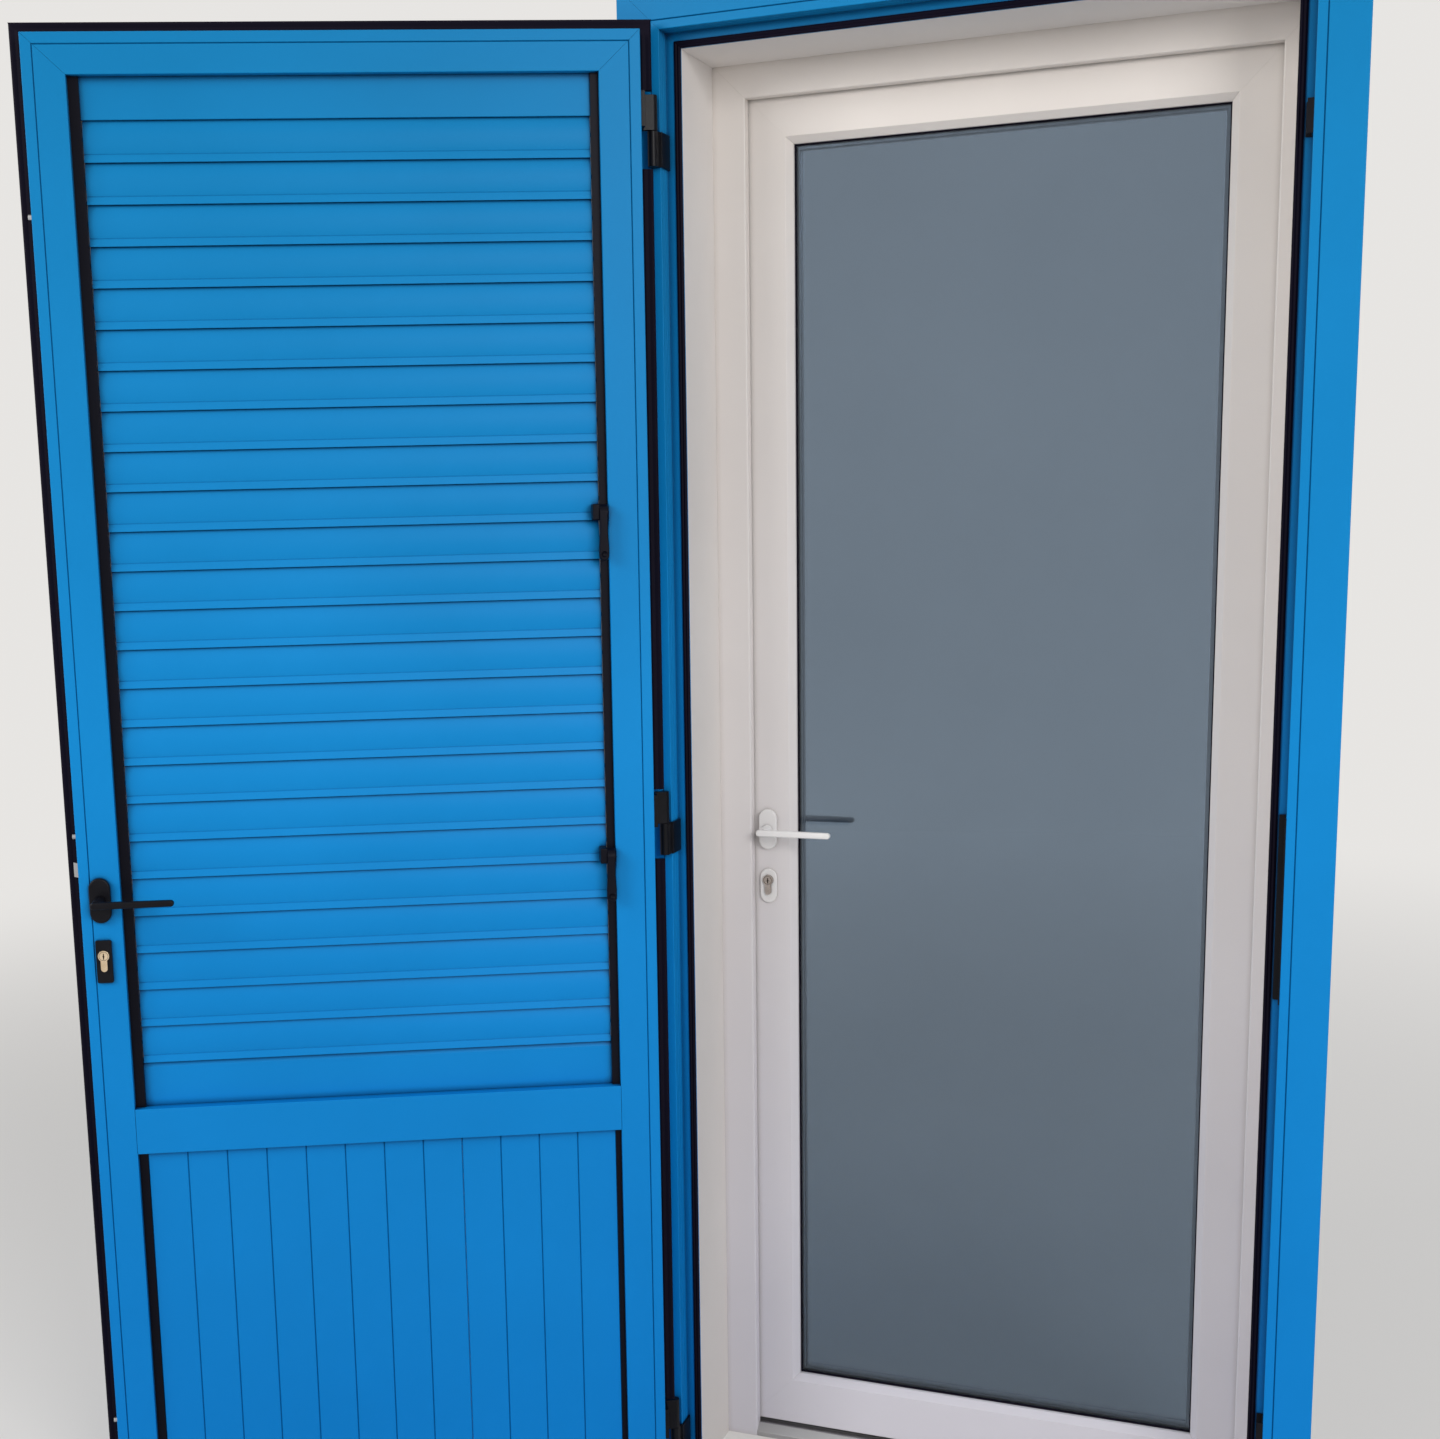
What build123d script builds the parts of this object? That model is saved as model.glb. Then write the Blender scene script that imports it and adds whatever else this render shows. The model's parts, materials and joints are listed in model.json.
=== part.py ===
from build123d import *
import os
from math import cos, radians, sin

# French window with a louvred shutter leaf. Millimetres. X runs to the right as seen from the
# street, Y runs into the room and Z up. The origin is under the middle of the window frame,
# half-way through its depth.
os.makedirs("parts", exist_ok=True)

# Cutters run past the piece by this much, and rounded ends get this many straight edges.
CUT = 1.0
END_COUNT = 12
PIN_COUNT = 8
ROUND_COUNT = 20

# White window frame: a stop lip on the street side and a thicker web behind it.
FRAME_WIDTH = 916.0
FRAME_HEIGHT = 2277.0
FRAME_DEPTH = 70.0
STOP_WIDTH = 69.0
STOP_DEPTH = 18.0
WEB_WIDTH = 45.0
PVC_WALL = 3.0

# Metal threshold between the jambs.
THRESHOLD_HEIGHT = 20.0
THRESHOLD_NOSE = 8.0
THRESHOLD_SLOPE = 12.0

# White sash.
SASH_CHAMBER = 11.8
SASH_WIDTH = 80.0
SASH_BOTTOM = 88.0
SASH_DEPTH = 70.0
SASH_SEAL_GAP = 3.0
SASH_SEAL_FROM = 1.0
SASH_SEAL_WIDTH = 5.0
SASH_CHAMFER = 4.0
SASH_FLOOR_GAP = 4.4
SASH_LIP = 20.0
SASH_LIP_GAP = 1.0
GLAZING_LIP = 20.0
GLAZING_BEVEL = 10.0
BEVEL_DEPTH = 12.0
GLASS_POCKET = 15.0
GLASS_EDGE_GAP = 3.0
PANE = 4.0
PANE_GAP = 16.0
SPACER_WIDTH = 12.0
SPACER_EDGE = 8.0

# White lining boards of the reveal.
LINING = 12.0
LINING_DEPTH = 142.0

# Blue shutter frame. Its opening is a little narrower and higher than the window frame, and
# set off to one side of it.
OPENING_NARROWER = 17.2
OPENING_HIGHER = 3.0
OPENING_SHIFT = -14.0
REBATE_DEPTH = 32.5
FIN_WIDTH = 22.4
FIN_THICKNESS = 3.0
FACE_WIDTH = 65.6
BODY_WIDTH = 30.0
WING_DEPTH = 12.5
FACE_GROOVE_AT = 13.3
GROOVE_WIDTH = 2.4
GROOVE_DEPTH = 1.6
METAL_WALL = 2.0
REBATE_GASKET_WIDTH = 10.2
REBATE_GASKET_HEIGHT = 4.0
REBATE_GASKET_FALL = 1.4
REBATE_GASKET_CREST = 4.0
SEAL_CLEARANCE = 0.4

# Blue leaf, measured from its hinge axis. It stands open in the photo.
OPEN_ANGLE = 153.0
AXIS_OUT = 7.7
AXIS_IN_LEAF = 1.1
LEAF_THICKNESS = 42.2
LEAF_GAP_SIDE = 12.8
LEAF_GAP_TOP = 10.0
LEAF_FLOOR_GAP = 12.0
STILE_WIDTH = 60.6
RAIL_HEIGHT = 57.5
FLANGE_WIDTH = 19.3
FLANGE_THICKNESS = 7.0
LEAF_GROOVE_IN = 16.4
LEAF_GASKET_SLOPE = 6.0
LEAF_GASKET_FALL = 3.0
LEAF_GASKET_ROUND = 2.0
MID_RAIL_TOP = 697.6
MID_RAIL_HEIGHT = 71.8

# Slats.
SLAT_COUNT = 24
UPPER_COUNT = 12
SLAT_OVERLAP = 6.6
SLAT_LIP = 11.5
SLAT_BULGE = 4.5
SLAT_NOSE = 5.0
SLAT_OVERLAP_GAP = 1.6
SLAT_CREASE = 2.6
SLAT_TIP = 1.0
BULGE_DROP = 3.0
TOP_FILLER = 58.5
BOTTOM_FILLER = 69.2
FILLER_STEP_GAP = 2.5
FILLER_SLOPE = 8.0
FILLER_LEDGE = 2.0
SLAT_END_GAP = 0.7
FILLER_FRONT = 25.0
FILLER_BACK = 14.0
SLAT_AXIS_DEPTH = 20.0

# Black side channels with the slats' bearings.
CHANNEL_HINGE_SIDE = 12.1
CHANNEL_LOCK_SIDE = 15.0
CHANNEL_BACK = 4.0
CHANNEL_FRONT = 30.0
CHANNEL_WALL = 1.6
BEARING_PLATE = 2.0
PIVOT_RADIUS = 3.0
PIVOT_CLEARANCE = 0.08
PIVOT_LENGTH = 4.0
CRANK_RADIUS = 8.0
CRANK_START_ANGLE = 140.0
CRANK_THICKNESS = 2.2
CRANK_HALF_WIDTH = 3.5
CRANK_PIN_RADIUS = 2.0
CRANK_PIN_CLEARANCE = 0.3
ROD_THICKNESS = 3.0
ROD_WIDTH = 9.0
ROD_GAP = 0.6
ROD_END = 8.0

# Grips that tilt the slats: how many slats hang above the upper and the lower grip's own.
UPPER_GRIP_COUNT = 9
LOWER_GRIP_COUNT = 18
GRIP_EDGE_GAP = 0.9
GRIP_CLIP_GAP = 0.4
GRIP_BOSS_SHORTER = 2.0
GRIP_WAIST = 25.0
GRIP_BEND = 1.0
GRIP_TIP_RISE = 9.0
GRIP_CLIP_REACH = 8.0
GRIP_BOSS_RADIUS = 13.0
GRIP_BOSS_OUT = 24.0
GRIP_BOSS_DOWN = 22.0
GRIP_WIDTH = 15.5
GRIP_LENGTH = 93.0
GRIP_THICKNESS = 8.0
GRIP_CLIP_WIDTH = 11.0
GRIP_CLIP_HEIGHT = 24.0

# Lower panel of upright staves.
STAVE_COUNT = 12
STAVE_THICKNESS = 14.0
STAVE_FRONT = 30.0
STAVE_GROOVE = 3.0
PANEL_EDGE_HINGE_SIDE = 8.5
PANEL_EDGE_LOCK_SIDE = 13.5

# Leaf hinges: the leaf's knuckle stands above the frame's knuckle and pin.
TOP_HINGE_DROP = 133.5
MIDDLE_HINGE_HEIGHT = 1107.0
FOOT_HINGE_HEIGHT = 96.5
KNUCKLE_HEIGHT = 50.0
PIN_SHORTER = 2.0
PIN_END_GAP = 0.5
KNUCKLE_RADIUS = 7.5
KNUCKLE_GAP = 0.5
HINGE_PIN_RADIUS = 4.0
HINGE_PIN_CLEARANCE = 0.06
HINGE_PLATE = 3.0
HINGE_NOTCH_GAP = 5.0
LEAF_PLATE = 6.0
LEAF_PLATE_INSET = 3.0

# Leaf lock and its furniture.
HANDLE_BACKSET = 30.8
HANDLE_HEIGHT = 1029.0
LOCK_CENTRES = 85.0
ROSE_WIDTH = 32.0
ROSE_LENGTH = 69.0
ROSE_THICKNESS = 8.0
LEVER_REACH = 48.0
LEVER_LENGTH = 107.0
LEVER_HEIGHT = 14.0
LEVER_THICKNESS = 9.0
NECK_RADIUS = 8.5
NECK_CLEARANCE = 0.4
FURNITURE_CHAMFER = 1.5
SPINDLE = 8.0
SPINDLE_HOLE = 6.6
SPINDLE_DEPTH = 28.0
SPINDLE_IN_NECK = 10.0
ESCUTCHEON_WIDTH = 24.0
ESCUTCHEON_HEIGHT = 66.0
ESCUTCHEON_THICKNESS = 5.0
CYLINDER_RADIUS = 8.5
CYLINDER_TAIL_WIDTH = 10.0
CYLINDER_DROP = 19.5
CYLINDER_PROUD = 9.0
CYLINDER_GAP = 0.2
CYLINDER_STREET = 1.0
KEY_SLOT_WIDTH = 1.6
KEY_SLOT_DEPTH = 6.0
KEY_SLOT_BELOW = 5.0
KEY_SLOT_ABOVE = 4.0
CASE_DEPTH = 40.0
CASE_THICKNESS = 16.0
CASE_BELOW = 120.0
CASE_ABOVE = 75.0
FACEPLATE_WIDTH = 20.0
FACEPLATE_THICKNESS = 2.6
FACEPLATE_BELOW = 140.0
FACEPLATE_ABOVE = 133.0
LATCH_ABOVE = 44.0
LATCH_HEIGHT = 22.0
LATCH_THROW = 10.0
LATCH_THICKNESS = 12.0
LATCH_TAIL = 14.0
LATCH_CLEARANCE = 0.4
BOLT_BAR_THICKNESS = 2.0
BOLT_BAR_WIDTH = 14.0
BOLT_BAR_END = 20.0
BOLT_BAR_GAP = 0.3
LATCH_WINDOW_GAP = 0.5
LATCH_FLAT = 2.0
LATCH_NOSE = 3.0
BOLT_TRAVEL = 36.0
CAM_RADIUS = 4.0
CAM_PROUD = 8.0
TOP_CAM_DROP = 257.0
MIDDLE_CAM_HEIGHT = 1124.0
FOOT_CAM_HEIGHT = 180.0
CAM_SLOT_CLEARANCE = 1.0

# Keepers on the right jamb: a short one over each end cam and a long one beside the lock.
KEEPER_ABOVE_CAM = 30.0
KEEPER_HEIGHT = 44.0
LONG_KEEPER_BELOW = 145.0
LONG_KEEPER_ABOVE = 121.0
KEEPER_THICKNESS = 2.0
KEEPER_LEG = 10.2
KEEPER_INSET = 0.5
KEEPER_LIP_SHORTER = 2.0
CAM_KEEPER_GAP = 0.8

# Window lock furniture.
WINDOW_BACKSET = 35.0
WINDOW_HANDLE_HEIGHT = 1066.0
WINDOW_ROSE_WIDTH = 30.0
WINDOW_ROSE_LENGTH = 67.0
WINDOW_LEVER_LENGTH = 134.0
WINDOW_ESCUTCHEON_WIDTH = 34.0
WINDOW_ESCUTCHEON_HEIGHT = 57.0
WINDOW_LATCH_THROW = 9.0
WINDOW_CASE_BACKSET = 55.0
STRIKE_HEIGHT = 90.0
STRIKE_FROM = 4.0
STRIKE_SHORTER = 2.0
STRIKE_NOTCH = 34.0
STRIKE_NOTCH_FRONT = 12.0

# Sash hinges on the room side.
SASH_FOOT_HINGE_HEIGHT = 250.0
SASH_MIDDLE_HINGE_HEIGHT = 1150.0
SASH_TOP_HINGE_DROP = 170.2
SASH_AXIS_OUT = 10.0
SASH_AXIS_PROUD = 6.0
SASH_KNUCKLE = 40.0
SASH_KNUCKLE_RADIUS = 7.0
SASH_PIN_RADIUS = 4.0
SASH_PLATE = 4.0
SASH_PLATE_WIDTH = 30.0
SASH_PLATE_EDGE = 2.0
SASH_ARM_NARROWER = 1.0

# Wall fixings: one screw hole near each end of the window frame's two jambs.
FIXING_RADIUS = 4.0
FIXING_FOOT = 240.0
FIXING_TOP_DROP = 237.0

# Places worked out from the sizes above.
FRAME_OUT = -FRAME_DEPTH / 2
FRAME_IN = FRAME_DEPTH / 2
STOP_BACK = FRAME_OUT + STOP_DEPTH
SASH_OUT = STOP_BACK + SASH_SEAL_GAP
SASH_IN = SASH_OUT + SASH_DEPTH
SASH_EDGE = FRAME_WIDTH / 2 - WEB_WIDTH - SASH_CHAMBER
GLASS_EDGE = SASH_EDGE - SASH_WIDTH
SASH_TOP = FRAME_HEIGHT - WEB_WIDTH - SASH_CHAMBER
GLASS_TOP = SASH_TOP - SASH_WIDTH
SASH_FOOT = THRESHOLD_HEIGHT + SASH_FLOOR_GAP
GLASS_FOOT = SASH_FOOT + SASH_BOTTOM
GLASS_OUT = SASH_OUT + GLAZING_LIP
GLASS_IN = GLASS_OUT + 2 * PANE + PANE_GAP

OPENING_WIDTH = FRAME_WIDTH - OPENING_NARROWER
OPENING_HEIGHT = FRAME_HEIGHT + OPENING_HIGHER
FIN_BACK = FRAME_OUT - LINING_DEPTH
REBATE_FACE = FIN_BACK - FIN_THICKNESS
FACE = REBATE_FACE - REBATE_DEPTH
OPENING_LEFT = OPENING_SHIFT - OPENING_WIDTH / 2
OPENING_RIGHT = OPENING_SHIFT + OPENING_WIDTH / 2

# Leaf places: U runs from the hinge axis along the closed leaf and V into the room.
AXIS_X = OPENING_LEFT - AXIS_OUT
LEAF_STREET = -AXIS_IN_LEAF
LEAF_INSIDE = LEAF_STREET + LEAF_THICKNESS
AXIS_Y = REBATE_FACE - REBATE_GASKET_HEIGHT - SEAL_CLEARANCE - LEAF_INSIDE
FACE_V = FACE - AXIS_Y
LEAF_START = AXIS_OUT + LEAF_GAP_SIDE
LEAF_END = AXIS_OUT + OPENING_WIDTH - LEAF_GAP_SIDE
LEAF_TOP = OPENING_HEIGHT - LEAF_GAP_TOP
FIELD_START = LEAF_START + STILE_WIDTH
FIELD_END = LEAF_END - STILE_WIDTH
FIELD_TOP = LEAF_TOP - RAIL_HEIGHT
FIELD_FOOT = LEAF_FLOOR_GAP + RAIL_HEIGHT
MID_RAIL_FOOT = MID_RAIL_TOP - MID_RAIL_HEIGHT
FLANGE_BACK = LEAF_STREET + FLANGE_THICKNESS
SLATS_TOP = FIELD_TOP - TOP_FILLER
SLAT_PITCH = (SLATS_TOP - MID_RAIL_TOP - BOTTOM_FILLER) / SLAT_COUNT
SLAT_HALF_CHORD = (SLAT_PITCH + SLAT_OVERLAP) / 2
SLAT_START = FIELD_START + CHANNEL_HINGE_SIDE + SLAT_END_GAP
SLAT_END = FIELD_END - CHANNEL_LOCK_SIDE - SLAT_END_GAP
LOCK_U = LEAF_END - HANDLE_BACKSET
LEAF_MIDDLE = (LEAF_STREET + LEAF_INSIDE) / 2
HINGE_HEIGHTS = (LEAF_TOP - TOP_HINGE_DROP, MIDDLE_HINGE_HEIGHT, FOOT_HINGE_HEIGHT)
TOP_CAM_HEIGHT = OPENING_HEIGHT - TOP_CAM_DROP
CAM_HEIGHTS = (TOP_CAM_HEIGHT, MIDDLE_CAM_HEIGHT, FOOT_CAM_HEIGHT)
LOCK_HEIGHT = HANDLE_HEIGHT - LOCK_CENTRES

SASH_AXIS_X = SASH_EDGE + SASH_LIP + SASH_AXIS_OUT
SASH_AXIS_Y = SASH_IN + SASH_AXIS_PROUD
WINDOW_LOCK_X = -SASH_EDGE + WINDOW_BACKSET
SASH_MIDDLE = (SASH_OUT + SASH_IN) / 2
SASH_HINGE_HEIGHTS = (SASH_FOOT_HINGE_HEIGHT, SASH_MIDDLE_HINGE_HEIGHT,
                      SASH_TOP - SASH_TOP_HINGE_DROP)

# Cutting bodies are made longer than any bar by this much.
REACH = FRAME_WIDTH / 2


def box(x0, x1, y0, y1, z0, z1):
    block = Box(x1 - x0, y1 - y0, z1 - z0, align=(Align.MIN, Align.MIN, Align.MIN))
    return Pos(x0, y0, z0) * block


def prism(points, plane, height):
    return extrude(plane * Polygon(*points, align=None), amount=height, dir=plane.z_dir)


def front_prism(points, y0, y1):
    # points are (x, z), and the prism runs from y0 to y1
    return prism(points, Plane(origin=(0, y1, 0), x_dir=(1, 0, 0), z_dir=(0, -1, 0)), y1 - y0)


def side_prism(points, x0, x1):
    # points are (y, z), and the prism runs from x0 to x1
    return prism(points, Plane(origin=(x0, 0, 0), x_dir=(0, 1, 0), z_dir=(1, 0, 0)), x1 - x0)


def plan_prism(points, z0, z1):
    # points are (x, y), and the prism runs from z0 to z1
    return prism(points, Plane.XY.offset(z0), z1 - z0)


def rod(radius, length, sides):
    # truly round, or with flat sides where nothing turns close to it
    if not sides:
        return Cylinder(radius, length)
    return Pos(0, 0, -length / 2) * extrude(RegularPolygon(radius, sides), amount=length)


def rod_x(y, z, radius, x0, x1, sides=0):
    return Pos((x0 + x1) / 2, y, z) * Rot(0, 90, 0) * rod(radius, x1 - x0, sides)


def rod_z(x, y, radius, z0, z1, sides=0):
    return Pos(x, y, (z0 + z1) / 2) * rod(radius, z1 - z0, sides)


def arc_points(x, y, radius, first, last):
    angles = [radians(first + (last - first) * step / END_COUNT) for step in range(END_COUNT + 1)]
    return [(x + radius * cos(angle), y + radius * sin(angle)) for angle in angles]


def slot_face(length, width):
    # flat shape with two rounded ends
    radius = width / 2
    centre = length / 2 - radius
    points = arc_points(centre, 0, radius, -90, 90) + arc_points(-centre, 0, radius, 90, 270)
    return Polygon(*points, align=None)


def profile(outline, hollows=()):
    # a bar's section: X is the distance outwards from the opening's edge and Y the depth
    section = Polygon(*outline, align=None)
    for a0, a1, y0, y1 in hollows:
        section -= Polygon((a0, y0), (a1, y0), (a1, y1), (a0, y1), align=None)
    return section


def bar(section, start, outward, run, length):
    plane = Plane(origin=start, x_dir=outward, z_dir=run)
    return extrude(plane * section, amount=length, dir=plane.z_dir)


def mitred(section, left, right, foot, top, inward, slope=1.0, floor=None, foot_slope=1.0):
    # bars round an opening, cut along the lines through its corners; with a floor there is
    # no bottom bar and the side bars end square on it
    tall = top - foot + 2 * REACH
    wide = right - left + 2 * REACH
    low = [(inward, -inward * foot_slope), (-REACH, REACH * foot_slope)]
    low_z = [foot - drop for step, drop in low] if floor is None else [floor, floor]
    high_z = [top - inward * slope, top + REACH * slope]
    bars = {}
    left_bar = bar(section, (left, 0, top + REACH), (-1, 0, 0), (0, 0, -1), tall)
    left_cut = [(left + inward, low_z[0]), (left - REACH, low_z[1]),
                (left - REACH, high_z[1]), (left + inward, high_z[0])]
    bars["left"] = left_bar & front_prism(left_cut, -REACH, REACH)
    right_bar = bar(section, (right, 0, foot - REACH), (1, 0, 0), (0, 0, 1), tall)
    right_cut = [(left + right - x, z) for x, z in left_cut]
    bars["right"] = right_bar & front_prism(right_cut, -REACH, REACH)
    top_bar = bar(section, (right + REACH, 0, top), (0, 0, 1), (-1, 0, 0), wide)
    top_cut = [(left + inward, high_z[0]), (left - REACH, high_z[1]),
               (right + REACH, high_z[1]), (right - inward, high_z[0])]
    bars["top"] = top_bar & front_prism(top_cut, -REACH, REACH)
    if floor is None:
        foot_bar = bar(section, (left - REACH, 0, foot), (0, 0, -1), (1, 0, 0), wide)
        foot_cut = [(left + inward, low_z[0]), (left - REACH, low_z[1]),
                    (right + REACH, low_z[1]), (right - inward, low_z[0])]
        bars["foot"] = foot_bar & front_prism(foot_cut, -REACH, REACH)
    return bars


def fuse(shapes):
    whole = shapes[0]
    for shape in shapes[1:]:
        whole += shape
    return whole


def save(name, shapes):
    solids = [solid for shape in shapes for solid in shape.solids()]
    export_step(Compound(children=solids), f"parts/{name}.step")


def on_leaf(shape):
    # from the closed leaf's own axes to its place in the photo
    return Pos(AXIS_X, AXIS_Y, 0) * Rot(0, 0, -OPEN_ANGLE) * shape


def save_leaf(name, shapes):
    save(name, [on_leaf(shape) for shape in shapes])


# Window frame

def window_frame():
    web_half = FRAME_WIDTH / 2
    stop_edge = STOP_WIDTH
    # measured outwards from the stop's edge
    web_start = stop_edge - WEB_WIDTH
    outline = [(0, FRAME_OUT), (stop_edge, FRAME_OUT), (stop_edge, FRAME_IN),
               (web_start, FRAME_IN), (web_start, STOP_BACK), (0, STOP_BACK)]
    hollows = [(web_start + PVC_WALL, stop_edge - PVC_WALL, FRAME_OUT + PVC_WALL, FRAME_IN - PVC_WALL)]
    left = -web_half + stop_edge
    bars = mitred(profile(outline, hollows), left, -left, 0, FRAME_HEIGHT - stop_edge,
                  STOP_WIDTH, floor=0)
    frame = fuse(list(bars.values()))
    fixing_y = (STOP_BACK + FRAME_IN) / 2
    for z in (FIXING_FOOT, FRAME_HEIGHT - FIXING_TOP_DROP):
        frame -= rod_x(fixing_y, z, FIXING_RADIUS, -web_half - CUT, -web_half + WEB_WIDTH + CUT)
        frame -= rod_x(fixing_y, z, FIXING_RADIUS, web_half - WEB_WIDTH - CUT, web_half + CUT)
    return [frame]


def threshold():
    inner = FRAME_WIDTH / 2 - WEB_WIDTH
    stop = FRAME_WIDTH / 2 - STOP_WIDTH
    outline = [(FRAME_OUT, 0), (FRAME_IN, 0), (FRAME_IN, THRESHOLD_HEIGHT),
               (FRAME_OUT + THRESHOLD_SLOPE, THRESHOLD_HEIGHT), (FRAME_OUT, THRESHOLD_NOSE)]
    sill = side_prism(outline, -inner, inner)
    for side in (-1, 1):
        notch = [side * stop, side * (inner + CUT)]
        sill -= box(min(notch), max(notch), FRAME_OUT - CUT, STOP_BACK, -CUT, THRESHOLD_HEIGHT + CUT)
    return [sill]


def lining_edges():
    left = OPENING_LEFT + FIN_WIDTH
    right = OPENING_RIGHT - FIN_WIDTH
    head = OPENING_HEIGHT - FIN_WIDTH
    return left, right, head


def reveal_lining():
    left, right, head = lining_edges()
    boards = [box(left - LINING, left, FIN_BACK, FRAME_OUT, 0, head),
              box(right, right + LINING, FIN_BACK, FRAME_OUT, 0, head),
              box(left - LINING, right + LINING, FIN_BACK, FRAME_OUT, head, head + LINING)]
    return boards


# Shutter frame

def shutter_frame():
    groove = GROOVE_WIDTH / 2
    outline = [(-FIN_WIDTH, REBATE_FACE), (0, REBATE_FACE), (0, FACE),
               (FACE_GROOVE_AT - groove, FACE), (FACE_GROOVE_AT, FACE + GROOVE_DEPTH),
               (FACE_GROOVE_AT + groove, FACE), (FACE_WIDTH, FACE), (FACE_WIDTH, FACE + WING_DEPTH),
               (BODY_WIDTH, FACE + WING_DEPTH), (BODY_WIDTH, FIN_BACK), (-FIN_WIDTH, FIN_BACK)]
    hollows = [(METAL_WALL, BODY_WIDTH - METAL_WALL, FACE + GROOVE_DEPTH + METAL_WALL,
                FIN_BACK - METAL_WALL),
               (BODY_WIDTH + METAL_WALL, FACE_WIDTH - METAL_WALL, FACE + METAL_WALL,
                FACE + WING_DEPTH - METAL_WALL)]
    return mitred(profile(outline, hollows), OPENING_LEFT, OPENING_RIGHT, 0, OPENING_HEIGHT,
                  FACE_WIDTH, floor=0)


def frame_gaskets():
    # the rebate strips that the leaf closes on, and the seal between window frame and sash
    front = REBATE_FACE - REBATE_GASKET_HEIGHT
    near = FIN_WIDTH - REBATE_GASKET_WIDTH
    middle = (FIN_WIDTH + near) / 2
    shoulder = front + REBATE_GASKET_FALL
    crest = REBATE_GASKET_CREST / 2
    strip = [(-FIN_WIDTH, REBATE_FACE), (-FIN_WIDTH, shoulder), (-middle - crest, front),
             (-middle + crest, front), (-near, shoulder), (-near, REBATE_FACE)]
    rebate = mitred(profile(strip), OPENING_LEFT, OPENING_RIGHT, 0, OPENING_HEIGHT,
                    FIN_WIDTH + CUT, floor=0)
    start = SASH_SEAL_FROM
    end = SASH_SEAL_FROM + SASH_SEAL_WIDTH
    seal = [(start, STOP_BACK), (start, SASH_OUT - SEAL_CLEARANCE), (end, SASH_OUT - SEAL_CLEARANCE),
            (end, STOP_BACK)]
    stop = FRAME_WIDTH / 2 - STOP_WIDTH
    inner = mitred(profile(seal), -stop, stop, 0, FRAME_HEIGHT - STOP_WIDTH, start / 2,
                   floor=THRESHOLD_HEIGHT)
    return list(rebate.values()) + list(inner.values())


def hinge_flags():
    # frame part of each leaf hinge: plate on the face, leg in the rebate, knuckle and pin
    shapes = []
    edge = OPENING_LEFT
    for height in HINGE_HEIGHTS:
        low = height - KNUCKLE_HEIGHT
        high = height - KNUCKLE_GAP / 2
        plate = box(edge - FACE_GROOVE_AT, edge + HINGE_PLATE, FACE - HINGE_PLATE, FACE, low, high)
        leg = box(edge, edge + HINGE_PLATE, FACE - HINGE_PLATE, REBATE_FACE, low, high)
        arm = box(AXIS_X - KNUCKLE_RADIUS, AXIS_X + KNUCKLE_RADIUS, AXIS_Y, FACE - HINGE_PLATE / 2,
                  low, high)
        knuckle = rod_z(AXIS_X, AXIS_Y, KNUCKLE_RADIUS, low, high, ROUND_COUNT)
        pin = rod_z(AXIS_X, AXIS_Y, HINGE_PIN_RADIUS, low, height + KNUCKLE_HEIGHT - PIN_SHORTER)
        shapes.append(plate + leg + arm + knuckle + pin)
    return shapes


def strike_plates():
    # keepers of the leaf's bolts on the right jamb, and the window latch's strike plate
    shapes = []
    edge = OPENING_RIGHT
    front = FACE + KEEPER_INSET
    cam_front = AXIS_Y + LEAF_MIDDLE - CAM_RADIUS - CAM_KEEPER_GAP
    shorts = [(cam + KEEPER_ABOVE_CAM, cam + KEEPER_ABOVE_CAM + KEEPER_HEIGHT)
              for cam in (TOP_CAM_HEIGHT, FOOT_CAM_HEIGHT)]
    long = (HANDLE_HEIGHT - LONG_KEEPER_BELOW, HANDLE_HEIGHT + LONG_KEEPER_ABOVE)
    for low, high in shorts + [long]:
        keeper = box(edge - KEEPER_THICKNESS, edge, front, REBATE_FACE, low, high)
        keeper += box(edge - KEEPER_LEG, edge, REBATE_FACE - KEEPER_THICKNESS, REBATE_FACE, low, high)
        if (low, high) != long:
            keeper += box(edge - KEEPER_LEG + KEEPER_LIP_SHORTER, edge, front, cam_front, low, high)
        shapes.append(keeper)
    web = -FRAME_WIDTH / 2 + WEB_WIDTH
    low = WINDOW_HANDLE_HEIGHT - STRIKE_HEIGHT / 2
    strike = box(web, web + KEEPER_THICKNESS, STOP_BACK + STRIKE_FROM, FRAME_IN - STRIKE_SHORTER,
                 low, low + STRIKE_HEIGHT)
    notch_low = WINDOW_HANDLE_HEIGHT - STRIKE_NOTCH / 2
    strike -= box(web - CUT, web + KEEPER_THICKNESS + CUT, SASH_MIDDLE - STRIKE_NOTCH_FRONT, FRAME_IN,
                  notch_low, notch_low + STRIKE_NOTCH)
    shapes.append(strike)
    return shapes


# Leaf frame

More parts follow.
